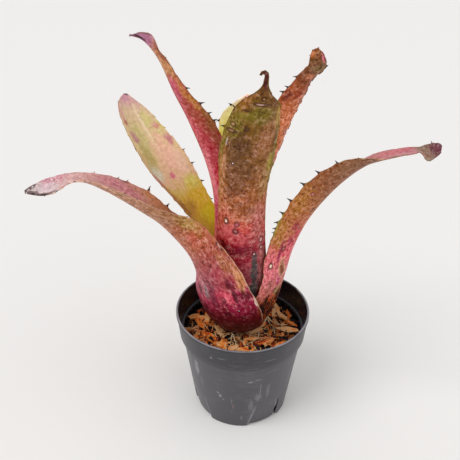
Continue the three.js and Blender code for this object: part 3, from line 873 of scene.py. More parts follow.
def leaf_grid(leaf, look, draw):
    """Rows of points on the outer face, each as (points, length, half width), with the spines' places"""
    stations = stations_of(leaf)
    table = length_table(stations)
    total = table[-1][0]
    spines = spine_places(leaf, total, look, draw)
    curl = look.get("curl")
    straight = total - curl[0] if curl else math.inf
    start = section_frame(stations, place_at_length(table, straight))
    rows = []
    count = int(total / ROW_STEP)
    for i in range(count + 1):
        length = total * i / count
        centre, across, inner, half, fold = section_frame(stations, place_at_length(table, length))
        widen, roll, twist, shift = from_tip(look["tip"], total - length)
        across, inner = twisted(across, inner, math.radians(twist))
        section = (centre + across * half * shift, across, inner, half * widen, fold * roll)
        points = []
        for j in range(LEAF_COLUMNS + 1):
            v = 2 * j / LEAF_COLUMNS - 1
            points.append(section_point(section, math.copysign(1 - (1 - abs(v)) ** EDGE_CROWDING, v)))
        raise_margins(points, length, half, spines)
        if length > straight:
            points = curl_over(points, centre, length - straight, start, curl)
        rows.append((points, length, half * widen))
    return rows, spines


def grid_normals(rows):
    """Direction from the outer face to the inner one; at the stem it points straight up"""
    grid = [points for points, _, _ in rows]
    normals = [[UP.copy() for _ in grid[0]]]
    for i, row in enumerate(grid[1:], start=1):
        below, above = grid[i - 1], grid[min(i + 1, len(grid) - 1)]
        line = []
        for j in range(len(row)):
            side = row[min(j + 1, len(row) - 1)] - row[max(j - 1, 0)]
            line.append(-side.cross(above[j] - below[j]).normalized())
        normals.append(line)
    return normals


def leaf_faces(row_count):
    """Faces of a thin shell: each row holds its outer points and then its inner ones"""
    columns = LEAF_COLUMNS + 1
    ring = 2 * columns
    faces = []
    for here in range(0, (row_count - 1) * ring, ring):
        above = here + ring
        for j in range(LEAF_COLUMNS):
            faces.append((here + j, here + j + 1, above + j + 1, above + j))
            p, q = here + columns + j, above + columns + j
            faces.append((p, q, q + 1, p + 1))
        faces.append((here, above, above + columns, here + columns))
        edge = here + LEAF_COLUMNS
        faces.append((edge, edge + columns, edge + ring + columns, edge + ring))
    tip = (row_count - 1) * ring
    for j in range(LEAF_COLUMNS):
        faces.append((j, columns + j, columns + j + 1, j + 1))
        faces.append((tip + j, tip + j + 1, tip + columns + j + 1, tip + columns + j))
    return faces


def leaf_blade(name, leaf, look, material, seed):
    rows, spines = leaf_grid(leaf, look, random.Random(seed))
    total = rows[-1][1]
    normals = grid_normals(rows)
    verts, place, share = [], [], []
    for (points, length, half), line in zip(rows, normals):
        for face in (0, 1):
            for j, point in enumerate(points):
                v = 2 * j / LEAF_COLUMNS - 1
                depth = lerp(LEAF_THICKNESS, MARGIN_THICKNESS * 0.7, v * v) * face
                depth += RIB_DEPTH * math.cos(v * half * RIB_PITCH) * min(1, length / RIB_FADE) * (1 - v ** 4)
                verts.append((point + line[j] * depth) * MM)
                place.append((v * half * MM, length * MM, face))
                share.append((j / LEAF_COLUMNS, length / total))
    blade = mesh_piece(name, verts, leaf_faces(len(rows)))
    set_values(blade, "leaf_place", place)
    layout = blade.data.uv_layers.new(name="leaf_share")
    for loop in blade.data.loops:
        layout.data[loop.index].uv = share[loop.vertex_index]
    only(blade)
    bpy.ops.object.shade_smooth_by_angle(angle=math.radians(60))
    finish_piece(blade, material, name.removesuffix("_blade"))
    return rows, normals, spines


def spine_pattern():
    """One spine, 1 high: a broad flat foot that narrows to a thin needle hooked to one side"""
    bpy.ops.mesh.primitive_circle_add(vertices=8, radius=0.3)
    spine = bpy.context.object
    with editing():
        bpy.ops.transform.resize(value=(0.42, 1.25, 1))
        for rise, narrowing, lean in SPINE_STEPS:
            bpy.ops.mesh.extrude_edges_move(TRANSFORM_OT_translate={"value": (0, lean, rise)})
            bpy.ops.transform.resize(value=(math.sqrt(narrowing), narrowing, 1))
        bpy.ops.mesh.merge(type="CENTER")
    heights = [vertex.co.z for vertex in spine.data.vertices]
    set_values(spine, "reach", [height / max(heights) for height in heights])
    only(spine)
    bpy.ops.object.shade_smooth()
    return spine


def leaf_spines(name, rows, normals, places, pattern, material, seed):
    """Stands each spine on its margin, its foot sunk in and its hook towards the tip"""
    draw = random.Random(seed)
    copies = []
    for side, at, scale in places:
        i = min(range(len(rows)), key=lambda k: abs(rows[k][1] - at))
        i = min(max(i, 1), len(rows) - 2)
        edge, inward = (LEAF_COLUMNS, LEAF_COLUMNS - 2) if side else (0, 2)
        points = rows[i][0]
        along = (rows[i + 1][0][edge] - rows[i - 1][0][edge]).normalized()
        outward = points[edge] - points[inward]
        outward = (outward - along * outward.dot(along)).normalized()
        outward = (outward + along * (SPINE_LEAN + draw.uniform(-0.25, 0.3))).normalized()
        along = (along - outward * along.dot(outward)).normalized()
        foot = points[edge] + normals[i][edge] * MARGIN_THICKNESS * 0.35 - outward * SPINE_SINK
        turn = Matrix((along.cross(outward), along, outward)).transposed().to_4x4()
        size = Matrix.Scale(SPINE_LENGTH * scale * MM, 4)
        copies.append(copy_of(pattern, Matrix.Translation(foot * MM) @ turn @ size))
    finish_piece(joined(copies, name), material, name.removesuffix("_spines"))


# Pot


def body_radius(z):
    return lerp(BASE_RADIUS, SHOULDER_RADIUS, z / (BAND_FOOT - 1))


def evenly(start, end):
    """Four even steps from one ring to another, without the first"""
    return [(lerp(start[0], end[0], k / 4), lerp(start[1], end[1], k / 4)) for k in range(1, 5)]


def pot_profile():
    """Radius and height of each ring, from the underside up the outer wall, over the lip and inside"""
    ledge = BAND_FOOT + LEDGE_RISE
    lip_foot = POT_HEIGHT - LIP_HEIGHT
    low = [0.6] + [2 * i for i in range(1, 16)]
    high = list(range(36, BAND_FOOT - 3, 6))
    outside = [(UNDERSIDE_RADIUS, 0), (BASE_RADIUS - 0.5, 0)] + [(body_radius(z), z) for z in low + high]
    neck = (body_radius(BAND_FOOT - 1), BAND_FOOT - 1)
    band_start = (BAND_FOOT_RADIUS, BAND_FOOT + 0.4)
    band = [neck, (BAND_FOOT_RADIUS - 0.4, BAND_FOOT - 0.3), band_start]
    band += evenly(band_start, (RIM_RADIUS - LIP_STEP, lip_foot - 0.8))
    lip_end = (RIM_RADIUS - LIP_WIDTH, POT_HEIGHT - 0.4)
    lip = [(RIM_RADIUS - 0.15, lip_foot - 0.6), (RIM_RADIUS, lip_foot), (RIM_RADIUS, POT_HEIGHT - 0.7),
           (RIM_RADIUS - 0.2, POT_HEIGHT - 0.2), (RIM_RADIUS - 0.6, POT_HEIGHT),
           (RIM_RADIUS - LIP_WIDTH + 0.4, POT_HEIGHT), lip_end]
    ledge_end = (BAND_FOOT_RADIUS - POT_WALL, ledge + LEDGE_DROP)
    inside = evenly(lip_end, ledge_end)
    inside += [(ledge_end[0] - 0.4, ledge + 0.3), (SHOULDER_RADIUS - POT_WALL + 0.4, ledge),
               (SHOULDER_RADIUS - POT_WALL, ledge - 0.5)]
    rungs = [FLOOR_THICKNESS] + low[3:] + high + [BAND_FOOT - 1]
    return outside + band + lip + inside + [(body_radius(z) - POT_WALL, z) for z in reversed(rungs)]


def recess_at(x, y, z):
    """How much of the nearest recess is left at a height, and how far inside its upright edge a point is"""
    left = max(0, 1 - z / RECESS_HEIGHT)
    turn = (math.atan2(y, x) - FIRST_RECESS_BEARING + RECESS_PERIOD / 2) % RECESS_PERIOD - RECESS_PERIOD / 2
    return left, RECESS_HALF_ANGLE * (1 - RECESS_NARROWING * (1 - left)) - abs(turn)


def press_recesses(pot):
    """Pushes the four foot panels in and lifts their lower edge"""
    for vertex in pot.data.vertices:
        x, y, z = vertex.co / MM
        radius = math.hypot(x, y)
        if z < RECESS_HEIGHT and radius > UNDERSIDE_RADIUS + 0.01:
            left, within = recess_at(x, y, z)
            pressed = smooth(within, -RECESS_EDGE / 2, RECESS_EDGE / 2)
            shrink = (radius - RECESS_DEPTH * left * pressed) / radius
            vertex.co = Vector((x * shrink, y * shrink, max(z, RECESS_LIFT * pressed))) * MM


def line_recess_edges(pot):
    """Marks a pale line along the upright edges of the pressed panels, most at the foot"""
    pale_edge = []
    for vertex in pot.data.vertices:
        left, within = recess_at(*(vertex.co / MM))
        pale_edge.append(min(1, 2 * left) * math.exp(-(within / RECESS_EDGE) ** 2))
    set_values(pot, "pale_edge", pale_edge)


def drain_slot(bearing):
    """A tall narrow block, slimmer at the top, to be cut from the wall"""
    bpy.ops.mesh.primitive_cube_add(size=1)
    wedge = bpy.context.object
    for vertex in wedge.data.vertices:
        high = vertex.co.z > 0
        across = vertex.co.y * (SLOT_TOP_WIDTH if high else SLOT_WIDTH)
        height = SLOT_SILL + (SLOT_HEIGHT if high else 0)
        vertex.co = Vector((BASE_RADIUS + vertex.co.x * 12, across, height)) * MM
    wedge.rotation_euler.z = bearing
    settle(wedge, "wedge")
    face_outward()
    return wedge


def nursery_pot(material):
    pot = turned("pot", pot_profile(), POT_SIDES)
    press_recesses(pot)
    for i in range(FOOT_RECESSES):
        side = 1 if i % 2 == 0 else -1
        wedge = drain_slot(FIRST_RECESS_BEARING + i * RECESS_PERIOD + side * (RECESS_HALF_ANGLE - SLOT_INSET))
        only(pot)
        cut = pot.modifiers.new("slot", "BOOLEAN")
        cut.operation = "DIFFERENCE"
        cut.object = wedge
        bpy.ops.object.modifier_apply(modifier="slot")
        bpy.data.objects.remove(wedge)
    line_recess_edges(pot)
    bpy.ops.object.shade_smooth_by_angle(angle=math.radians(28))
    finish_piece(pot, material, "nursery_pot")


# Potting mix


def mix_bed():
    """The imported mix: a plug that fills the pot, with a lumpy top"""
    clearance = POT_WALL + 0.5
    top = body_radius(MIX_TOP) - clearance
    profile = [(UNDERSIDE_RADIUS - 1, FLOOR_THICKNESS + 0.3),
               (body_radius(FLOOR_THICKNESS) - clearance - RECESS_DEPTH, FLOOR_THICKNESS + 0.4),
               (body_radius(RECESS_HEIGHT) - clearance, RECESS_HEIGHT), (top, MIX_TOP - 1.5)]
    profile += [(top * (1 - k / BED_RINGS), MIX_TOP - 1.2) for k in range(1, BED_RINGS - BED_MIDDLE + 1)]
    bed = turned("mix_bed", profile, BED_SIDES)
    draw = random.Random(BED_SEED)
    bumps = [(draw.uniform(-50, 50), draw.uniform(-50, 50), draw.uniform(2, 5), draw.uniform(-1.2, 1.6))
             for _ in range(BED_BUMPS)]
    for vertex in bed.data.vertices:
        x, y, z = vertex.co / MM
        if z > MIX_TOP - 1.4:
            lift = sum(h * math.exp(-((x - bx) ** 2 + (y - by) ** 2) / (w * w)) for bx, by, w, h in bumps)
            vertex.co.z += max(-2, min(lift, 1.8)) * MM
    # The bed takes the darkest tone, near black: partly the dark of the fine mix and partly painted shade in
    # the gaps between chips and behind the drain slots
    set_tone(bed, 0.02)
    return bed


def chip_pattern(seed, pointed):
    """A piece of bark: a box with more cuts, its corners pulled about, drawn out to points for a splinter"""
    draw = random.Random(seed)
    bpy.ops.mesh.primitive_cube_add(size=1)
    chip = bpy.context.object
    with editing():
        bpy.ops.mesh.subdivide(number_cuts=1)
    for vertex in chip.data.vertices:
        narrowing = 0.85 if pointed and (vertex.co.x > 0 or seed % 2) else 0.45 * draw.random()
        vertex.co.y *= 1 - narrowing * abs(vertex.co.x * 2)
        vertex.co.z *= 1 - 0.4 * abs(vertex.co.y * 2) * draw.random()
        vertex.co += Vector([draw.uniform(-0.09, 0.09) for _ in range(3)])
    return chip


def laid_chip(pattern, place, turns, size, tone):
    """A copy of the pattern at the place, turned about Z, Y and X; its grain runs along its length"""
    chip = copy_of(pattern, Matrix.Diagonal((*(side * MM for side in size), 1)))
    set_tone(chip, tone)
    set_values(chip, "grain", [tuple(vertex.co + place * MM * 3) for vertex in chip.data.vertices])
    turn = Matrix()
    for angle, axis in zip(turns, "ZYX"):
        turn = turn @ Matrix.Rotation(angle, 4, axis)
    chip.data.transform(Matrix.Translation(place * MM) @ turn)
    return chip


def somewhere(draw, limit):
    """A random spot on the mix, with its distances from the pot's axis and from the collar"""
    out = limit * math.sqrt(draw.random())
    place = polar(draw.uniform(0, TURN), out)
    return place, out, math.hypot(place.x - COLLAR.x, place.y - COLLAR.y)


def scatter_chips(patterns):
    """Chips lie at all angles over the bed, clear of the swollen leaf bases; the big ones lie on top"""
    draw = random.Random(CHIP_SEED)
    limit = body_radius(MIX_TOP) - POT_WALL
    copies = []
    while len(copies) < CHIP_COUNT + CRUMB_COUNT:
        crumb = len(copies) >= CHIP_COUNT
        length = draw.uniform(1.5, 4) if crumb else draw.triangular(4, 15, 8)
        width = length * draw.uniform(0.35, 0.7) if crumb else draw.uniform(1.4, 5)
        thickness = draw.uniform(0.7, 1.6) if crumb else draw.uniform(0.8, 1.8)
        place, out, from_collar = somewhere(draw, limit)
        if out + length * 0.42 > limit or from_collar < CHIPS_START:
            continue
        room = 0 if from_collar < BELLY_CLEARANCE else 1
        place.z = MIX_TOP - 1 + draw.uniform(0, 1.4) + room * draw.random() * 1.4
        tilt = 0.15 if from_collar < BELLY_CLEARANCE + 2 else 0.6
        turns = (draw.uniform(0, TURN), draw.gauss(0, tilt), draw.gauss(0, tilt))
        tone = draw.choice(CHIP_TONES) + draw.uniform(-0.06, 0.06)
        copies.append(laid_chip(draw.choice(patterns), place, turns, (length, width, thickness), tone))
    for x, y, bearing, length, width, tone, lift in BIG_CHIPS:
        turns = (math.radians(bearing), draw.gauss(0, 0.1), draw.gauss(0, 0.2))
        pattern = draw.choice(patterns[BLUNT_PATTERNS:] if length > 1.9 * width else patterns)
        place = Vector((x, y, MIX_TOP + lift))
        copies.append(laid_chip(pattern, place, turns, (length, width, BIG_CHIP_THICKNESS), tone))
    return copies


def fibre_pattern():
    """A strand of coir: a thin three-sided rod with cuts across it, so that it can bend"""
    bpy.ops.mesh.primitive_cylinder_add(vertices=3, radius=0.5, depth=1, rotation=(0, math.pi / 2, 0))
    fibre = bpy.context.object
    settle(fibre, "fibre")
    with editing():
        for cut in range(1, FIBRE_PIECES):
            bpy.ops.mesh.select_all(action="SELECT")
            bpy.ops.mesh.bisect(plane_co=(cut / FIBRE_PIECES - 0.5, 0, 0), plane_no=(1, 0, 0))
    return fibre


def scatter_fibres(pattern):
    """Strands lie on the mix, each bowed and swaying its own way, with its ends down"""
    draw = random.Random(FIBRE_SEED)
    limit = body_radius(MIX_TOP) - POT_WALL - 1
    copies = []
    while len(copies) < FIBRE_COUNT:
        length, width = draw.uniform(4, 14), draw.uniform(0.3, 0.9)
        place, out, from_collar = somewhere(draw, limit)
        place.z = MIX_TOP + draw.uniform(1.2, 2.6)
        if out + length / 2 > limit or from_collar < FIBRES_START:
            continue
        strand = copy_of(pattern, Matrix())
        bow, sway, phase = draw.uniform(-3, 3), draw.uniform(-1, 1), draw.uniform(0, 6)
        for vertex in strand.data.vertices:
            x, y, z = vertex.co
            rise = 0.9 * math.cos(math.pi * x) - abs(x) * 1.2
            swerve = bow * (0.25 - x * x) * 2 + sway * math.sin(6 * x + phase)
            vertex.co = Vector((x * length, y * width + swerve, z * width + rise)) * MM
        turn = Matrix.Rotation(draw.uniform(0, TURN), 4, "Z")
        strand.data.transform(Matrix.Translation(place * MM) @ turn)
        set_tone(strand, draw.choice(FIBRE_TONES) + draw.uniform(-0.05, 0.05))
        copies.append(strand)
    return copies


def potting_mix(material):
    bed = mix_bed()
    only(bed)
    bpy.ops.object.shade_smooth()
    patterns = [chip_pattern(seed, seed >= BLUNT_PATTERNS) for seed in range(CHIP_PATTERNS)]
    chips = joined(scatter_chips(patterns), "bark_chips")
    strand = fibre_pattern()
    fibres = joined(scatter_fibres(strand), "coir_fibres")
    for pattern in [*patterns, strand]:
        bpy.data.objects.remove(pattern)
    for piece in (bed, chips, fibres):
        finish_piece(piece, material, "potting_mix")


# Stem and roots


def thread(points, radius):
    """A thin round strand through the points, thinner towards its end, as a mesh"""
    bpy.ops.curve.primitive_nurbs_path_add(radius=1)
    strand = bpy.context.object
    spline = strand.data.splines[0]
    spline.points.add(len(points) - len(spline.points))
    for i, point in enumerate(points):
        spline.points[i].co = (*(point * MM), 1)
        spline.points[i].radius = lerp(1, 0.45, i / (len(points) - 1))
    spline.use_endpoint_u = True
    spline.order_u = 4
    strand.data.resolution_u = 5
    strand.data.bevel_depth = radius * MM
    strand.data.bevel_resolution = 2
    strand.data.use_fill_caps = True
    only(strand)
    bpy.ops.object.convert(target="MESH")
    return bpy.context.object


def surface_roots(material):
    draw = random.Random(ROOT_SEED)
    strands = []
    for bearing, length in zip(ROOT_BEARINGS, ROOT_LENGTHS):
        for branch in range(2):
            angle = math.radians(bearing) + branch * draw.uniform(-0.5, 0.5)
            reach = length * (1 if branch == 0 else draw.uniform(0.6, 0.9))
            points = []
            for i in range(ROOT_STEPS + 1):
                share = i / ROOT_STEPS
                swing = angle + 0.2 * math.sin(4 * share + bearing) + draw.uniform(-0.05, 0.05)
                height = MIX_TOP - 0.2 + draw.uniform(0, 1.1) + 0.8 * math.sin(math.pi * share)
                spot = polar(swing, STEM_RADIUS - 3 + reach * share)
                points.append(Vector((COLLAR.x + spot.x, COLLAR.y + spot.y, height)))
            strands.append(thread(points, 0.5 if branch == 0 else 0.35))
    for number, path in enumerate(PALE_ROOTS):
        points = [Vector((x, y, MIX_TOP + 3.6 + draw.uniform(-0.3, 0.3))) for x, y in path]
        strands.append(thread(points, 0.75 if number in STOUT_ROOTS else 0.5))
    finish_piece(joined(strands, "surface_roots"), material, "stem")


def stem(material):
    top = SHEATH_PITCH * len(LEAVES)
    radius = STEM_RADIUS - 0.3
    profile = [(5, -STEM_DEPTH + 2), (radius - 1, -STEM_DEPTH + 8), (radius, -6), (radius, top),
               (STEM_RADIUS - 4, top + 6), (1, top + 11)]
    trunk = turned("stem_core", profile, 40, COLLAR)
    bpy.ops.object.shade_smooth_by_angle(angle=math.radians(40))
    finish_piece(trunk, material, "stem")


def dead_sheath(rows, normals, material):
    """Brown fibres of a dead leaf base, over the foot of a living leaf: flat strands run out to points"""
    draw = random.Random(DEAD_SEED)
    verts, tones, grain, faces = [], [], [], []
    for _ in range(DEAD_FIBRES):
        column, top = draw.uniform(*DEAD_COLUMNS), draw.uniform(*DEAD_TOPS)
        width, lean, tone = draw.uniform(0.25, 0.8), draw.uniform(-1.2, 1.2), draw.uniform(0.1, 0.52)
        track = [i for i, (_, length, _) in enumerate(rows) if DEAD_FOOT < length < top]
        first = len(verts)
        for number, i in enumerate(track):
            share = number / (len(track) - 1)
            middle = column + lean * share * share + 0.2 * math.sin(5 * share + column)
            spread = width * math.sqrt(1.02 - share)
            low = int(middle)
            here, beside = rows[i][0][low:low + 2]
            point = here.lerp(beside, middle - low)
            across = (beside - here).normalized()
            for side, lift in ((-spread, 0.3), (0, 0.85), (spread, 0.3)):
                verts.append((point + across * side - normals[i][low] * lift) * MM)
                tones.append(tone)
                grain.append((share * 0.03 + column, side * MM, tone))
            if number:
                base = first + 3 * number
                for a, b in ((0, 1), (1, 2), (2, 0)):
                    faces.append((base - 3 + a, base - 3 + b, base + b, base + a))
        last = len(verts) - 3
        faces += [(first, first + 2, first + 1), (last, last + 1, last + 2)]
    sheath = mesh_piece("dead_sheath", verts, faces)
    set_values(sheath, "tone", tones)
    set_values(sheath, "grain", grain)
    only(sheath)
    face_outward()
    finish_piece(sheath, material, DEAD_SHEATH_LEAF)


# What each leaf looks like. Colour stops run from sheath to tip, on the outer and the inner face. The
# tints are the dark and the light one of its mottling, that of its blotches and that of its edge, and
# the amounts are those of blotches, mottling, pepper and scurf. A patch is (face, across, along, half
# width, half length, colour, amount), and a scar is the same with the colour of its core and, where it
# isn't the usual one, that of its ring; both are placed from the middle and the foot of the leaf, and
# face 0 is the outer one. The spines are (along, size) on each margin. The tip is (distance back from
# the end, width factor, fold factor, added twist in degrees, sideways shift), and a curl is (its length,
# its angle, its direction in the cross-section). A glow stands for light that comes through the leaf.

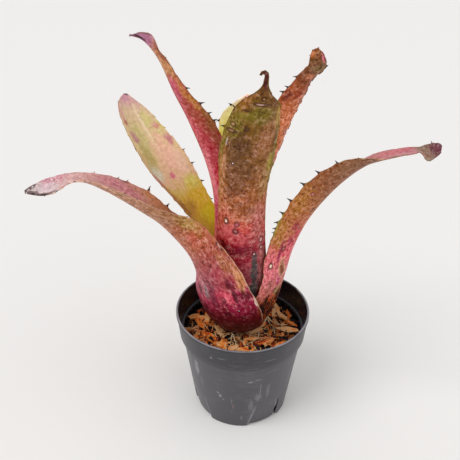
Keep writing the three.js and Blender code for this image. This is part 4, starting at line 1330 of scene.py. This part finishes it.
LEAF_LOOKS = {
    "leaf_arching_left": dict(
        slot="leaf_rose_brown",
        outer=[(0.0, "#4c000e"), (0.185, "#6a0218"), (0.23, "#8c1836"), (0.28, "#ae3a56"), (0.35, "#a8504f"),
            (0.42, "#b3654c"), (0.5, "#b06c48"), (0.58, "#ac7a5a"), (0.7, "#b88468"), (0.8, "#b8806a"),
            (0.9, "#c39a98"), (0.97, "#a88e90"), (1.0, "#4a3838")],
        inner=[(0.0, "#8a7a3a"), (0.3, "#b87c4c"), (0.5, "#c8926e"), (0.62, "#c08a78"), (0.75, "#c48c88"),
            (0.84, "#cc9690"), (0.92, "#c9a2a8"), (0.97, "#a58a8c"), (1.0, "#6a5456")],
        # Its pale cream edge tint is partly the margin's own colour and partly a painted highlight along it
        tints=("#a98a7c", "#d8a498", "#4c0a1c", "#e0b892"), amounts=(0.48, 0.8, 1.0, 0.0),
        inner_amounts=(0.1, 0.45, 0.35, 0.9),
        patches=[(0, 24, 69, 9, 6.5, "#e06876", 0.9), (0, 46, 72, 8, 4.5, "#6a1024", 0.85),
            (0, 34, 71, 1.9, 6.5, "#5c1024", 0.95), (0, 33, 80, 4, 4, "#6c1428", 0.85),
            (0, 48, 63, 8, 7, "#a83048", 0.6), (0, 15, 80, 9, 10, "#8f4850", 0.5),
            (0, 46, 83, 7, 9, "#d09260", 0.8), (0, 38, 92, 7, 8, "#b47a50", 0.6),
            (0, 28, 130, 10, 14, "#b0904e", 0.7), (0, 22, 116, 6, 8, "#bb5548", 0.6),
            (0, 45, 105, 3, 6, "#7c2430", 0.8), (0, 20, 150, 8, 14, "#b07c54", 0.6),
            (0, -28, 120, 8, 10, "#ad924e", 0.7), (0, -20, 106, 8, 10, "#bc6844", 0.6),
            (0, -38, 78, 9, 20, "#b2604c", 0.6), (0, 5, 70, 8, 12, "#b06a70", 0.7),
            # The grey patch at 7.5 across and 69 along is a painted highlight on the belly's left edge
            (0, 14, 69, 4, 12, "#6c2438", 0.7), (0, 7.5, 69, 2.6, 9, "#6f6668", 0.7),
            (0, 54, 66, 3, 6, "#ecd2c2", 1.0), (0, 54, 52, 5, 8, "#7a3418", 0.6),
            (0, 22, 190, 6, 20, "#bd9474", 0.6), (1, -31, 143, 2, 8, "#6a2a20", 0.8),
            (1, -23, 181, 2, 7, "#7a2a3c", 0.85), (1, -13, 180, 6, 26, "#c68088", 0.7),
            (1, -27, 148, 11, 19, "#dea474", 0.7), (1, -8, 235, 5, 14, "#c0607a", 0.6),
            (1, 3, 257, 5, 3.5, "#3c2a2a", 0.8), (1, 2, 238, 7, 12, "#d2bcc0", 0.7),
            (1, 3, 222, 5, 10, "#dcb4ac", 0.6)],
        scars=[(0, 36, 50, 1.6, 1.6, "#c9a8a8"), (0, 33, 58, 1.0, 1.3, "#d9c0c0"),
            (0, 44, 103, 1.5, 3, "#c99a92"), (1, 9.5, 242, 2.6, 9, "#38221f", "#4a2c28"),
            (1, 7, 251, 4, 4.5, "#2c1c1a", "#4a2c28"), (0, 9.5, 242, 3, 9, "#38221f", "#4a2c28")],
        spines=([(132, 1.3), (154, 1.3), (176, 0.7), (185, 0.7), (205, 0.7), (225, 0.5)],
                [(135, 0.6), (161, 0.7), (171, 0.7), (181, 0.7), (204, 0.6), (231, 0.9), (240, 1.0)]),
        tip=[(0, 0.45, 1.2, 0, 0), (2, 0.85, 1.1, 0, 0), (6, 1, 1, 0, 0)]),
    "leaf_arching_right": dict(
        slot="leaf_olive_brown",
        outer=[(0.0, "#4a1c10"), (0.18, "#6e2c1c"), (0.215, "#b05a48"), (0.25, "#c46c62"), (0.29, "#dc7880"),
            (0.4, "#e07074"), (0.47, "#bc6c4a"), (0.56, "#b06c40"), (0.66, "#945a38"), (0.78, "#8c583c"),
            (0.88, "#96705a"), (0.95, "#8a6a52"), (1.0, "#5c2a30")],
        inner=[(0.0, "#8a7a3a"), (0.35, "#9a8440"), (0.6, "#b3705f"), (0.8, "#b87a78"), (0.92, "#c07c80"),
            (0.94, "#8c7058"), (0.962, "#6e4640"), (0.978, "#5e1c34"), (1.0, "#5a1228")],
        tints=("#a8876c", "#d6a487", "#8c1c3a", "#85802e"), amounts=(0.3, 0.75, 1.0, 0.0),
        inner_amounts=(0.1, 0.45, 0.25, 0.2),
        patches=[(0, 24, 76, 9, 14, "#b43a48", 0.85), (0, -21, 70, 4, 7, "#9c5a4c", 0.7),
            (0, -14, 64, 2.4, 3, "#5c2428", 0.8), (0, 8, 85, 12, 12, "#d06a60", 0.7),
            (0, 18, 110, 10, 14, "#dc6c64", 0.75), (0, 20, 135, 9, 16, "#b87a34", 0.8),
            (0, -18, 114, 9, 16, "#b27c3c", 0.8), (0, -5, 96, 7, 15, "#e0586c", 0.7),
            (0, -18, 145, 9, 16, "#b0783c", 0.7), (0, 15, 160, 10, 20, "#7c5038", 0.6),
            (0, -10, 188, 8, 18, "#8a6848", 0.4), (0, -28, 54, 10, 8, "#6a2a14", 0.9),
            (0, -10, 60, 4, 7, "#a08a48", 0.8), (0, -26, 118, 3, 20, "#8c8a2c", 0.8),
            (0, -13, 100, 1.7, 14, "#8c1440", 0.8), (0, -11.5, 74, 2, 8, "#c8307a", 0.85),
            (0, -8, 82, 4.8, 10.5, "#ecb48e", 1.0), (0, -8, 81.5, 3.3, 8.5, "#84421e", 1.0),
            (0, -8, 124, 4, 5, "#9c2c3c", 0.8), (0, -2, 116, 4, 8, "#c83c54", 0.8),
            (0, -6, 108, 3, 6, "#a82c48", 0.8), (0, 20, 62, 8, 8, "#7c2c30", 0.6),
            (1, -9, 250, 4, 6, "#94826a", 0.85), (1, 6, 222, 5, 16, "#c2606a", 0.6),
            (1, -3, 205, 6, 10, "#d9aca4", 0.6)],
        scars=[(0, 27, 80, 1.7, 2.0, "#b06a66"), (0, -10.5, 101.5, 1.9, 2.1, "#b56a5c"),
            (0, -13, 155.5, 1.5, 1.7, "#b07c68", "#7c2430"), (0, -16.5, 161, 0.9, 1.3, "#6a3a24"),
            (0, -20, 88.5, 2.2, 2.6, "#f0dfc0"), (0, -3, 141, 0.9, 2.2, "#7a3420"),
            (0, 15, 132, 0.8, 2.4, "#7a3420"), (0, 6, 147, 1.5, 1.5, "#8c5c34")],
        spines=([(113.6, 0.7), (118, 0.9), (122.5, 1), (130.4, 1.1), (141.2, 1.2), (158.2, 1.25),
                 (172.7, 1.15), (186, 1.0), (200, 0.55), (222, 0.4), (241, 0.5)],
                [(122, 0.3), (142, 0.3), (162, 0.35), (184, 0.3), (205, 0.3), (250, 0.7)]),
        tip=[(0, 0.5, 2, 20, 0.1), (2, 0.95, 1.8, 25, 0), (7, 1.15, 1.6, 30, -0.4),
            (11, 0.95, 1.3, 20, -0.25), (16, 0.75, 1, 0, 0), (24, 1, 1, 0, 0)]),
    "leaf_back_left": dict(
        slot="leaf_pale_green",
        outer=[(0.0, "#7a3a22"), (0.3, "#a05a3c"), (0.6, "#a97450"), (1.0, "#b98a72")],
        inner=[(0.0, "#8a6a14"), (0.36, "#bd9120"), (0.5, "#cba03a"), (0.56, "#cbae62"), (0.62, "#d8ae8e"),
            (0.8, "#d8c08c"), (0.93, "#d2b494"), (1.0, "#c8909a")],
        tints=("#c4a078", "#ead8b4", "#b9606e", "#a06a4a"), amounts=(0.5, 0.6, 0.5, 0.0),
        inner_amounts=(0.3, 0.26, 0.1, 0.12),
        patches=[(1, 10, 173, 6, 16, "#a89a54", 0.85), (1, -9, 203, 6, 12, "#cdc07c", 0.8),
            (1, -20, 198, 4, 10, "#c8b868", 0.8), (1, 5, 190, 5, 14, "#ccc084", 0.7),
            (1, -12, 156, 8, 16, "#e4bca8", 0.8), (1, -2, 117, 5, 7, "#8c4a2c", 0.8),
            (1, -12, 134, 8, 8, "#cfc06a", 0.8), (1, -14, 195, 4, 3, "#c4786c", 0.8),
            (1, 0, 234.5, 2, 1.6, "#5a4248", 0.9), (1, -14, 102, 10, 10, "#c4ac1c", 0.85),
            (1, -8, 120, 10, 12, "#cda434", 0.7), (1, 15, 114, 9, 13, "#8a5820", 0.9),
            (1, 5, 112, 7, 8, "#a8782e", 0.7), (1, 0, 147, 2.6, 4, "#cc6880", 0.9),
            (1, 20, 128, 5, 14, "#9c6242", 0.8), (1, 21, 146, 3, 12, "#9a4c4c", 0.8),
            (1, 14.5, 156, 6, 11, "#cccab4", 0.9), (1, 14, 167, 7, 12, "#b9a268", 0.8),
            (1, 8, 190, 7, 18, "#bfae76", 0.6), (1, 12.5, 191, 4, 7, "#b87684", 0.75),
            (1, 13.5, 205.5, 3, 4, "#a84850", 0.85), (1, -17, 178, 4, 8, "#bd7080", 0.8),
            (1, -12, 197, 4, 4, "#cf958c", 0.7), (1, -6, 170, 8, 24, "#e4b29c", 0.8),
            (1, -3, 200, 1.5, 30, "#e6d0ae", 0.8), (1, 19, 216, 3, 8, "#c8888a", 0.7),
            (1, 13, 216, 3, 10, "#d09890", 0.7)],
        spines=([(113.3, 0.8), (130, 1), (147.6, 1), (162, 0.8), (178, 0.5), (190, 0.5), (205, 0.4)],
                [(115, 0.5), (135, 0.4), (150, 0.35), (171, 0.5), (182, 0.55), (204, 0.5), (216, 0.45),
                 (224, 0.6)]),
        tip=[(0, 0.8, 1, 0, 0), (4, 1, 1, 0, 0)]),
    "leaf_front": dict(
        slot="leaf_olive_red",
        outer=[(0.0, "#3c100c"), (0.24, "#7a2c34"), (0.34, "#a54650"), (0.41, "#b03c46"), (0.46, "#cf5c52"),
            (0.53, "#c27258"), (0.6, "#a9683e"), (0.69, "#96663a"), (0.77, "#825626"), (0.85, "#765618"),
            (0.92, "#76501c"), (0.965, "#6a3a20"), (1.0, "#5c1020")],
        inner=[(0.0, "#8a7a3a"), (0.4, "#9a8a3a"), (0.7, "#8f9440"), (0.9, "#8d8238"), (1.0, "#4a1c1e")],
        tints=("#9c7a62", "#cf9d80", "#4c0e24", "#8d8a30"), amounts=(0.35, 0.85, 0.9, 0.0),
        inner_amounts=(0.2, 0.3, 0.3, 0.0),
        patches=[(0, 10.5, 64, 4.4, 13, "#403e3e", 1.0), (0, 11, 80, 4.4, 13, "#403e3e", 1.0),
            (0, 10, 92, 3, 9, "#403e3e", 0.9), (0, 0, 101, 14, 6, "#7e1e30", 0.85),
            (0, -13, 104, 7, 7, "#76242a", 0.8), (0, 18, 86, 6.5, 24, "#b8686a", 0.85),
            (0, -8, 117, 13, 10, "#cc6266", 0.8), (0, 13, 128, 9, 22, "#c07c74", 0.6),
            (0, -14, 133, 7, 10, "#c4705a", 0.4), (0, -5, 172, 12, 26, "#54301a", 0.62),
            (0, -10, 198, 9, 18, "#54361a", 0.55), (0, 17, 168, 6, 22, "#b08a5a", 0.7),
            (0, 17, 184, 3, 9, "#a2983c", 0.8), (0, 9, 206, 8, 22, "#aa7350", 0.7),
            (0, 1, 222, 12, 8, "#7a6a1e", 0.8), (0, 22, 195, 3, 44, "#8c8236", 0.75),
            (0, -22, 190, 3.4, 50, "#86742c", 0.75), (0, -18, 195, 0.6, 4, "#d0cac6", 0.75),
            (0, -12, 238, 5, 5, "#7c4a26", 0.7), (0, -15, 214, 7, 14, "#857428", 0.7),
            (0, 18, 222, 5, 14, "#b58e3c", 0.8), (0, -12, 232, 6, 8, "#96602a", 0.7),
            (0, -19, 160, 5, 28, "#bc8458", 0.6), (0, 2, 143, 9, 8, "#8c5232", 0.6),
            (0, 0, 247, 2.5, 6, "#4c1018", 0.8)],
        scars=[(0, -1.2, 231, 5.4, 1.1, "#b48c80"), (0, 0, 235.2, 1.4, 1.5, "#94743c"),
            (0, -6, 210, 1.6, 1.9, "#5c3c20"), (0, -16.5, 205.5, 4.4, 1.5, "#a07058"),
            (0, -16.5, 211.5, 1.7, 1.7, "#a8845a"), (0, -9.5, 180, 1.0, 1.1, "#f0dcd4"),
            (0, -10.5, 128.5, 2.0, 3.6, "#f2dcc4"), (0, -3.5, 119.5, 2.0, 3.0, "#c88080"),
            (0, -2.5, 127, 1.5, 2.2, "#b8606a"), (0, 16, 108, 2.2, 2.4, "#d8a09a"),
            (0, 16.5, 100.5, 1.7, 2.1, "#d8a8a0"), (0, 9.5, 96.5, 1.2, 1.5, "#d8a8a0"),
            (0, -9, 225, 2.2, 0.8, "#4a2a14")],
        spines=([(205.7, 1.0), (225.2, 0.85), (234.4, 0.6), (188, 0.3)], [(233.5, 0.6), (212, 0.3)]),
        tip=[(0, 0.7, 1.3, 0, 0), (4, 0.8, 1.2, 0, 0), (12, 0.6, 1, 0, 0), (20, 0.9, 1, 0, 0),
            (28, 1, 1, 0, 0)],
        curl=(6, 170, 180)),
    "leaf_tall_left": dict(
        slot="leaf_crimson",
        outer=[(0.0, "#5a1c1c"), (0.35, "#e6787c"), (0.5, "#d85c66"), (0.62, "#b3464a"), (0.74, "#a9503f"),
            (0.82, "#b04c50"), (0.87, "#bd8058"), (0.92, "#bf8468"), (0.95, "#bb7f92"), (1.0, "#8f6c80")],
        inner=[(0.0, "#8a7a3a"), (0.4, "#a4463c"), (0.6, "#9c4634"), (0.8, "#a0583c"), (0.92, "#b88068"),
            (1.0, "#8a6a72")],
        tints=("#b98478", "#da9a86", "#8a1430", "#8a5a2c"), amounts=(0.3, 0.6, 0.6, 0.0),
        inner_amounts=(0.3, 0.6, 0.6, 0.0),
        patches=[(0, 17, 215, 5, 26, "#93642a", 0.8), (0, 9, 236, 4, 12, "#bb7a42", 0.85),
            (0, 13, 222, 3, 10, "#c0803e", 0.8), (0, 13, 195, 6, 16, "#8c4a2c", 0.6),
            (0, 6, 180, 6, 20, "#b23c48", 0.7), (0, -1, 150, 5, 40, "#ee8c98", 0.9),
            (0, 0, 118, 5, 18, "#c84c74", 0.8), (0, 0, 200, 4.5, 30, "#d4646e", 0.8),
            (0, 8, 153, 6, 12, "#c2384a", 0.7), (0, 2, 238, 9, 7, "#be4656", 0.8),
            (0, 4, 253, 8, 9, "#c88f5e", 0.8), (0, 8, 262, 3, 8, "#8a3c24", 0.7),
            (0, 0, 277, 10, 8, "#bd7a98", 0.8), (0, 3, 279.5, 1.7, 5, "#3c1420", 0.95),
            # The dark grey patch at 286.5 along is painted shade inside the curl of the tip
            (0, 3, 286.5, 6, 2.2, "#3a343c", 0.9), (0, 12.8, 248, 1, 12, "#5c3030", 0.6),
            (0, 3, 234, 3, 16, "#cc6478", 0.7)],
        spines=([(190, 0.3), (215, 0.3), (240, 0.35), (262, 0.4)],
                [(201, 1.0), (208, 0.9), (217.6, 1.1), (233.4, 0.9), (260, 0.5)]),
        tip=[(0, 0.12, 1, 0, 0), (3, 0.5, 1.2, 0, 0), (7, 1.0, 1.35, 0, 0), (11, 1.2, 1.4, 0, 0),
            (15, 1.1, 1.3, 0, 0), (21, 0.8, 1.1, 0, 0), (28, 1, 1, 0, 0)]),
    "leaf_tall_right": dict(
        slot="leaf_orange_brown",
        outer=[(0.0, "#6a2c1c"), (0.45, "#d0704c"), (0.6, "#de8458"), (0.74, "#d8845a"), (0.84, "#c06c46"),
            (0.9, "#884626"), (0.95, "#7c5230"), (1.0, "#a2582a")],
        inner=[(0.0, "#8a7a3a"), (0.45, "#b8604a"), (0.6, "#c27654"), (0.8, "#b8744e"), (0.92, "#96603c"),
            (1.0, "#a05a30")],
        tints=("#a87a5c", "#dfa480", "#7c2420", "#8a4a28"), amounts=(0.4, 0.85, 0.9, 0.0),
        inner_amounts=(0.4, 0.6, 0.6, 0.0),
        patches=[(0, -8, 226, 4, 8, "#7c3022", 0.8), (0, 0, 227, 4, 5, "#963a24", 0.6),
            (0, 3, 254, 6, 5, "#80663a", 0.7), (0, 5, 262, 2.2, 5, "#d0667a", 0.95),
            (0, -3, 267, 3, 3, "#b5642a", 0.9), (0, 2, 244, 5, 4, "#c87a50", 0.6),
            (0, 4, 205, 4, 12, "#cf6a3c", 0.6)],
        scars=[(0, 6, 192.5, 1.5, 2.1, "#b58a7c"), (0, 5, 222, 1.2, 1.4, "#8c4a30")],
        spines=([(190, 0.4), (205, 0.5), (225.8, 1), (231.3, 0.9), (241.2, 0.9), (267, 0.5)],
                [(212, 0.4), (231.9, 0.8), (246, 0.8), (254.3, 1.4), (267, 0.5)]),
        tip=[(0, 0.9, 1.8, 0, 0), (4, 1.1, 1.5, 0, 0), (10, 1, 1, 0, 0)]),
    "leaf_back": dict(
        slot="leaf_yellow_green",
        outer=[(0.0, "#6a5a22"), (0.5, "#a29c40"), (0.8, "#d8d468"), (1.0, "#e8e0a0")],
        # Its pale inner face is partly its own yellow-green and partly painted light coming through it from
        # behind
        inner=[(0.0, "#8a7a3a"), (0.5, "#c8c050"), (0.72, "#eaee60"), (0.86, "#f2f48c"), (0.94, "#f8f2c8"),
            (1.0, "#f4c8bc")],
        tints=("#e0dc98", "#f6f6c8", "#b0705a", "#e8c8b0"), amounts=(0.2, 0.4, 0.3, 0.0),
        inner_amounts=(0.0, 0.3, 0.1, 0.0), glow=0.22, spines=([], []),
        tip=[(0, 0.8, 1, 0, 0), (4, 1, 1, 0, 0), (16, 1.1, 0.95, 0, 0), (45, 1, 1, 0, 0)]),
}


def grow_plant(bark):
    needle = spine_material()
    pattern = spine_pattern()
    for number, (name, leaf) in enumerate(LEAVES.items()):
        look = dict(LEAF_LOOKS[name])
        shape = {key: look.pop(key) for key in ("spines", "tip", "curl") if key in look}
        slot = look.pop("slot")
        material = leaf_material(name + "_skin", FIRST_SKIN + SKIN_STEP * number, **look)
        rows, normals, places = leaf_blade(name + "_blade", leaf, shape, material, BLADE_SEED + number)
        leaf_spines(name + "_spines", rows, normals, places, pattern, needle, SPINE_SEED + number)
        if name == DEAD_SHEATH_LEAF:
            dead_sheath(rows, normals, bark)
    bpy.data.objects.remove(pattern)


place_camera()
light_the_studio()
lay_the_floor()
SKIN = skin_group()
PATCH = patch_group()
SCAR = scar_group()
nursery_pot(pot_material())
bark = bark_material()
potting_mix(bark)
roots_look = root_material()
stem(roots_look)
surface_roots(roots_look)
grow_plant(bark)

deselect_all()
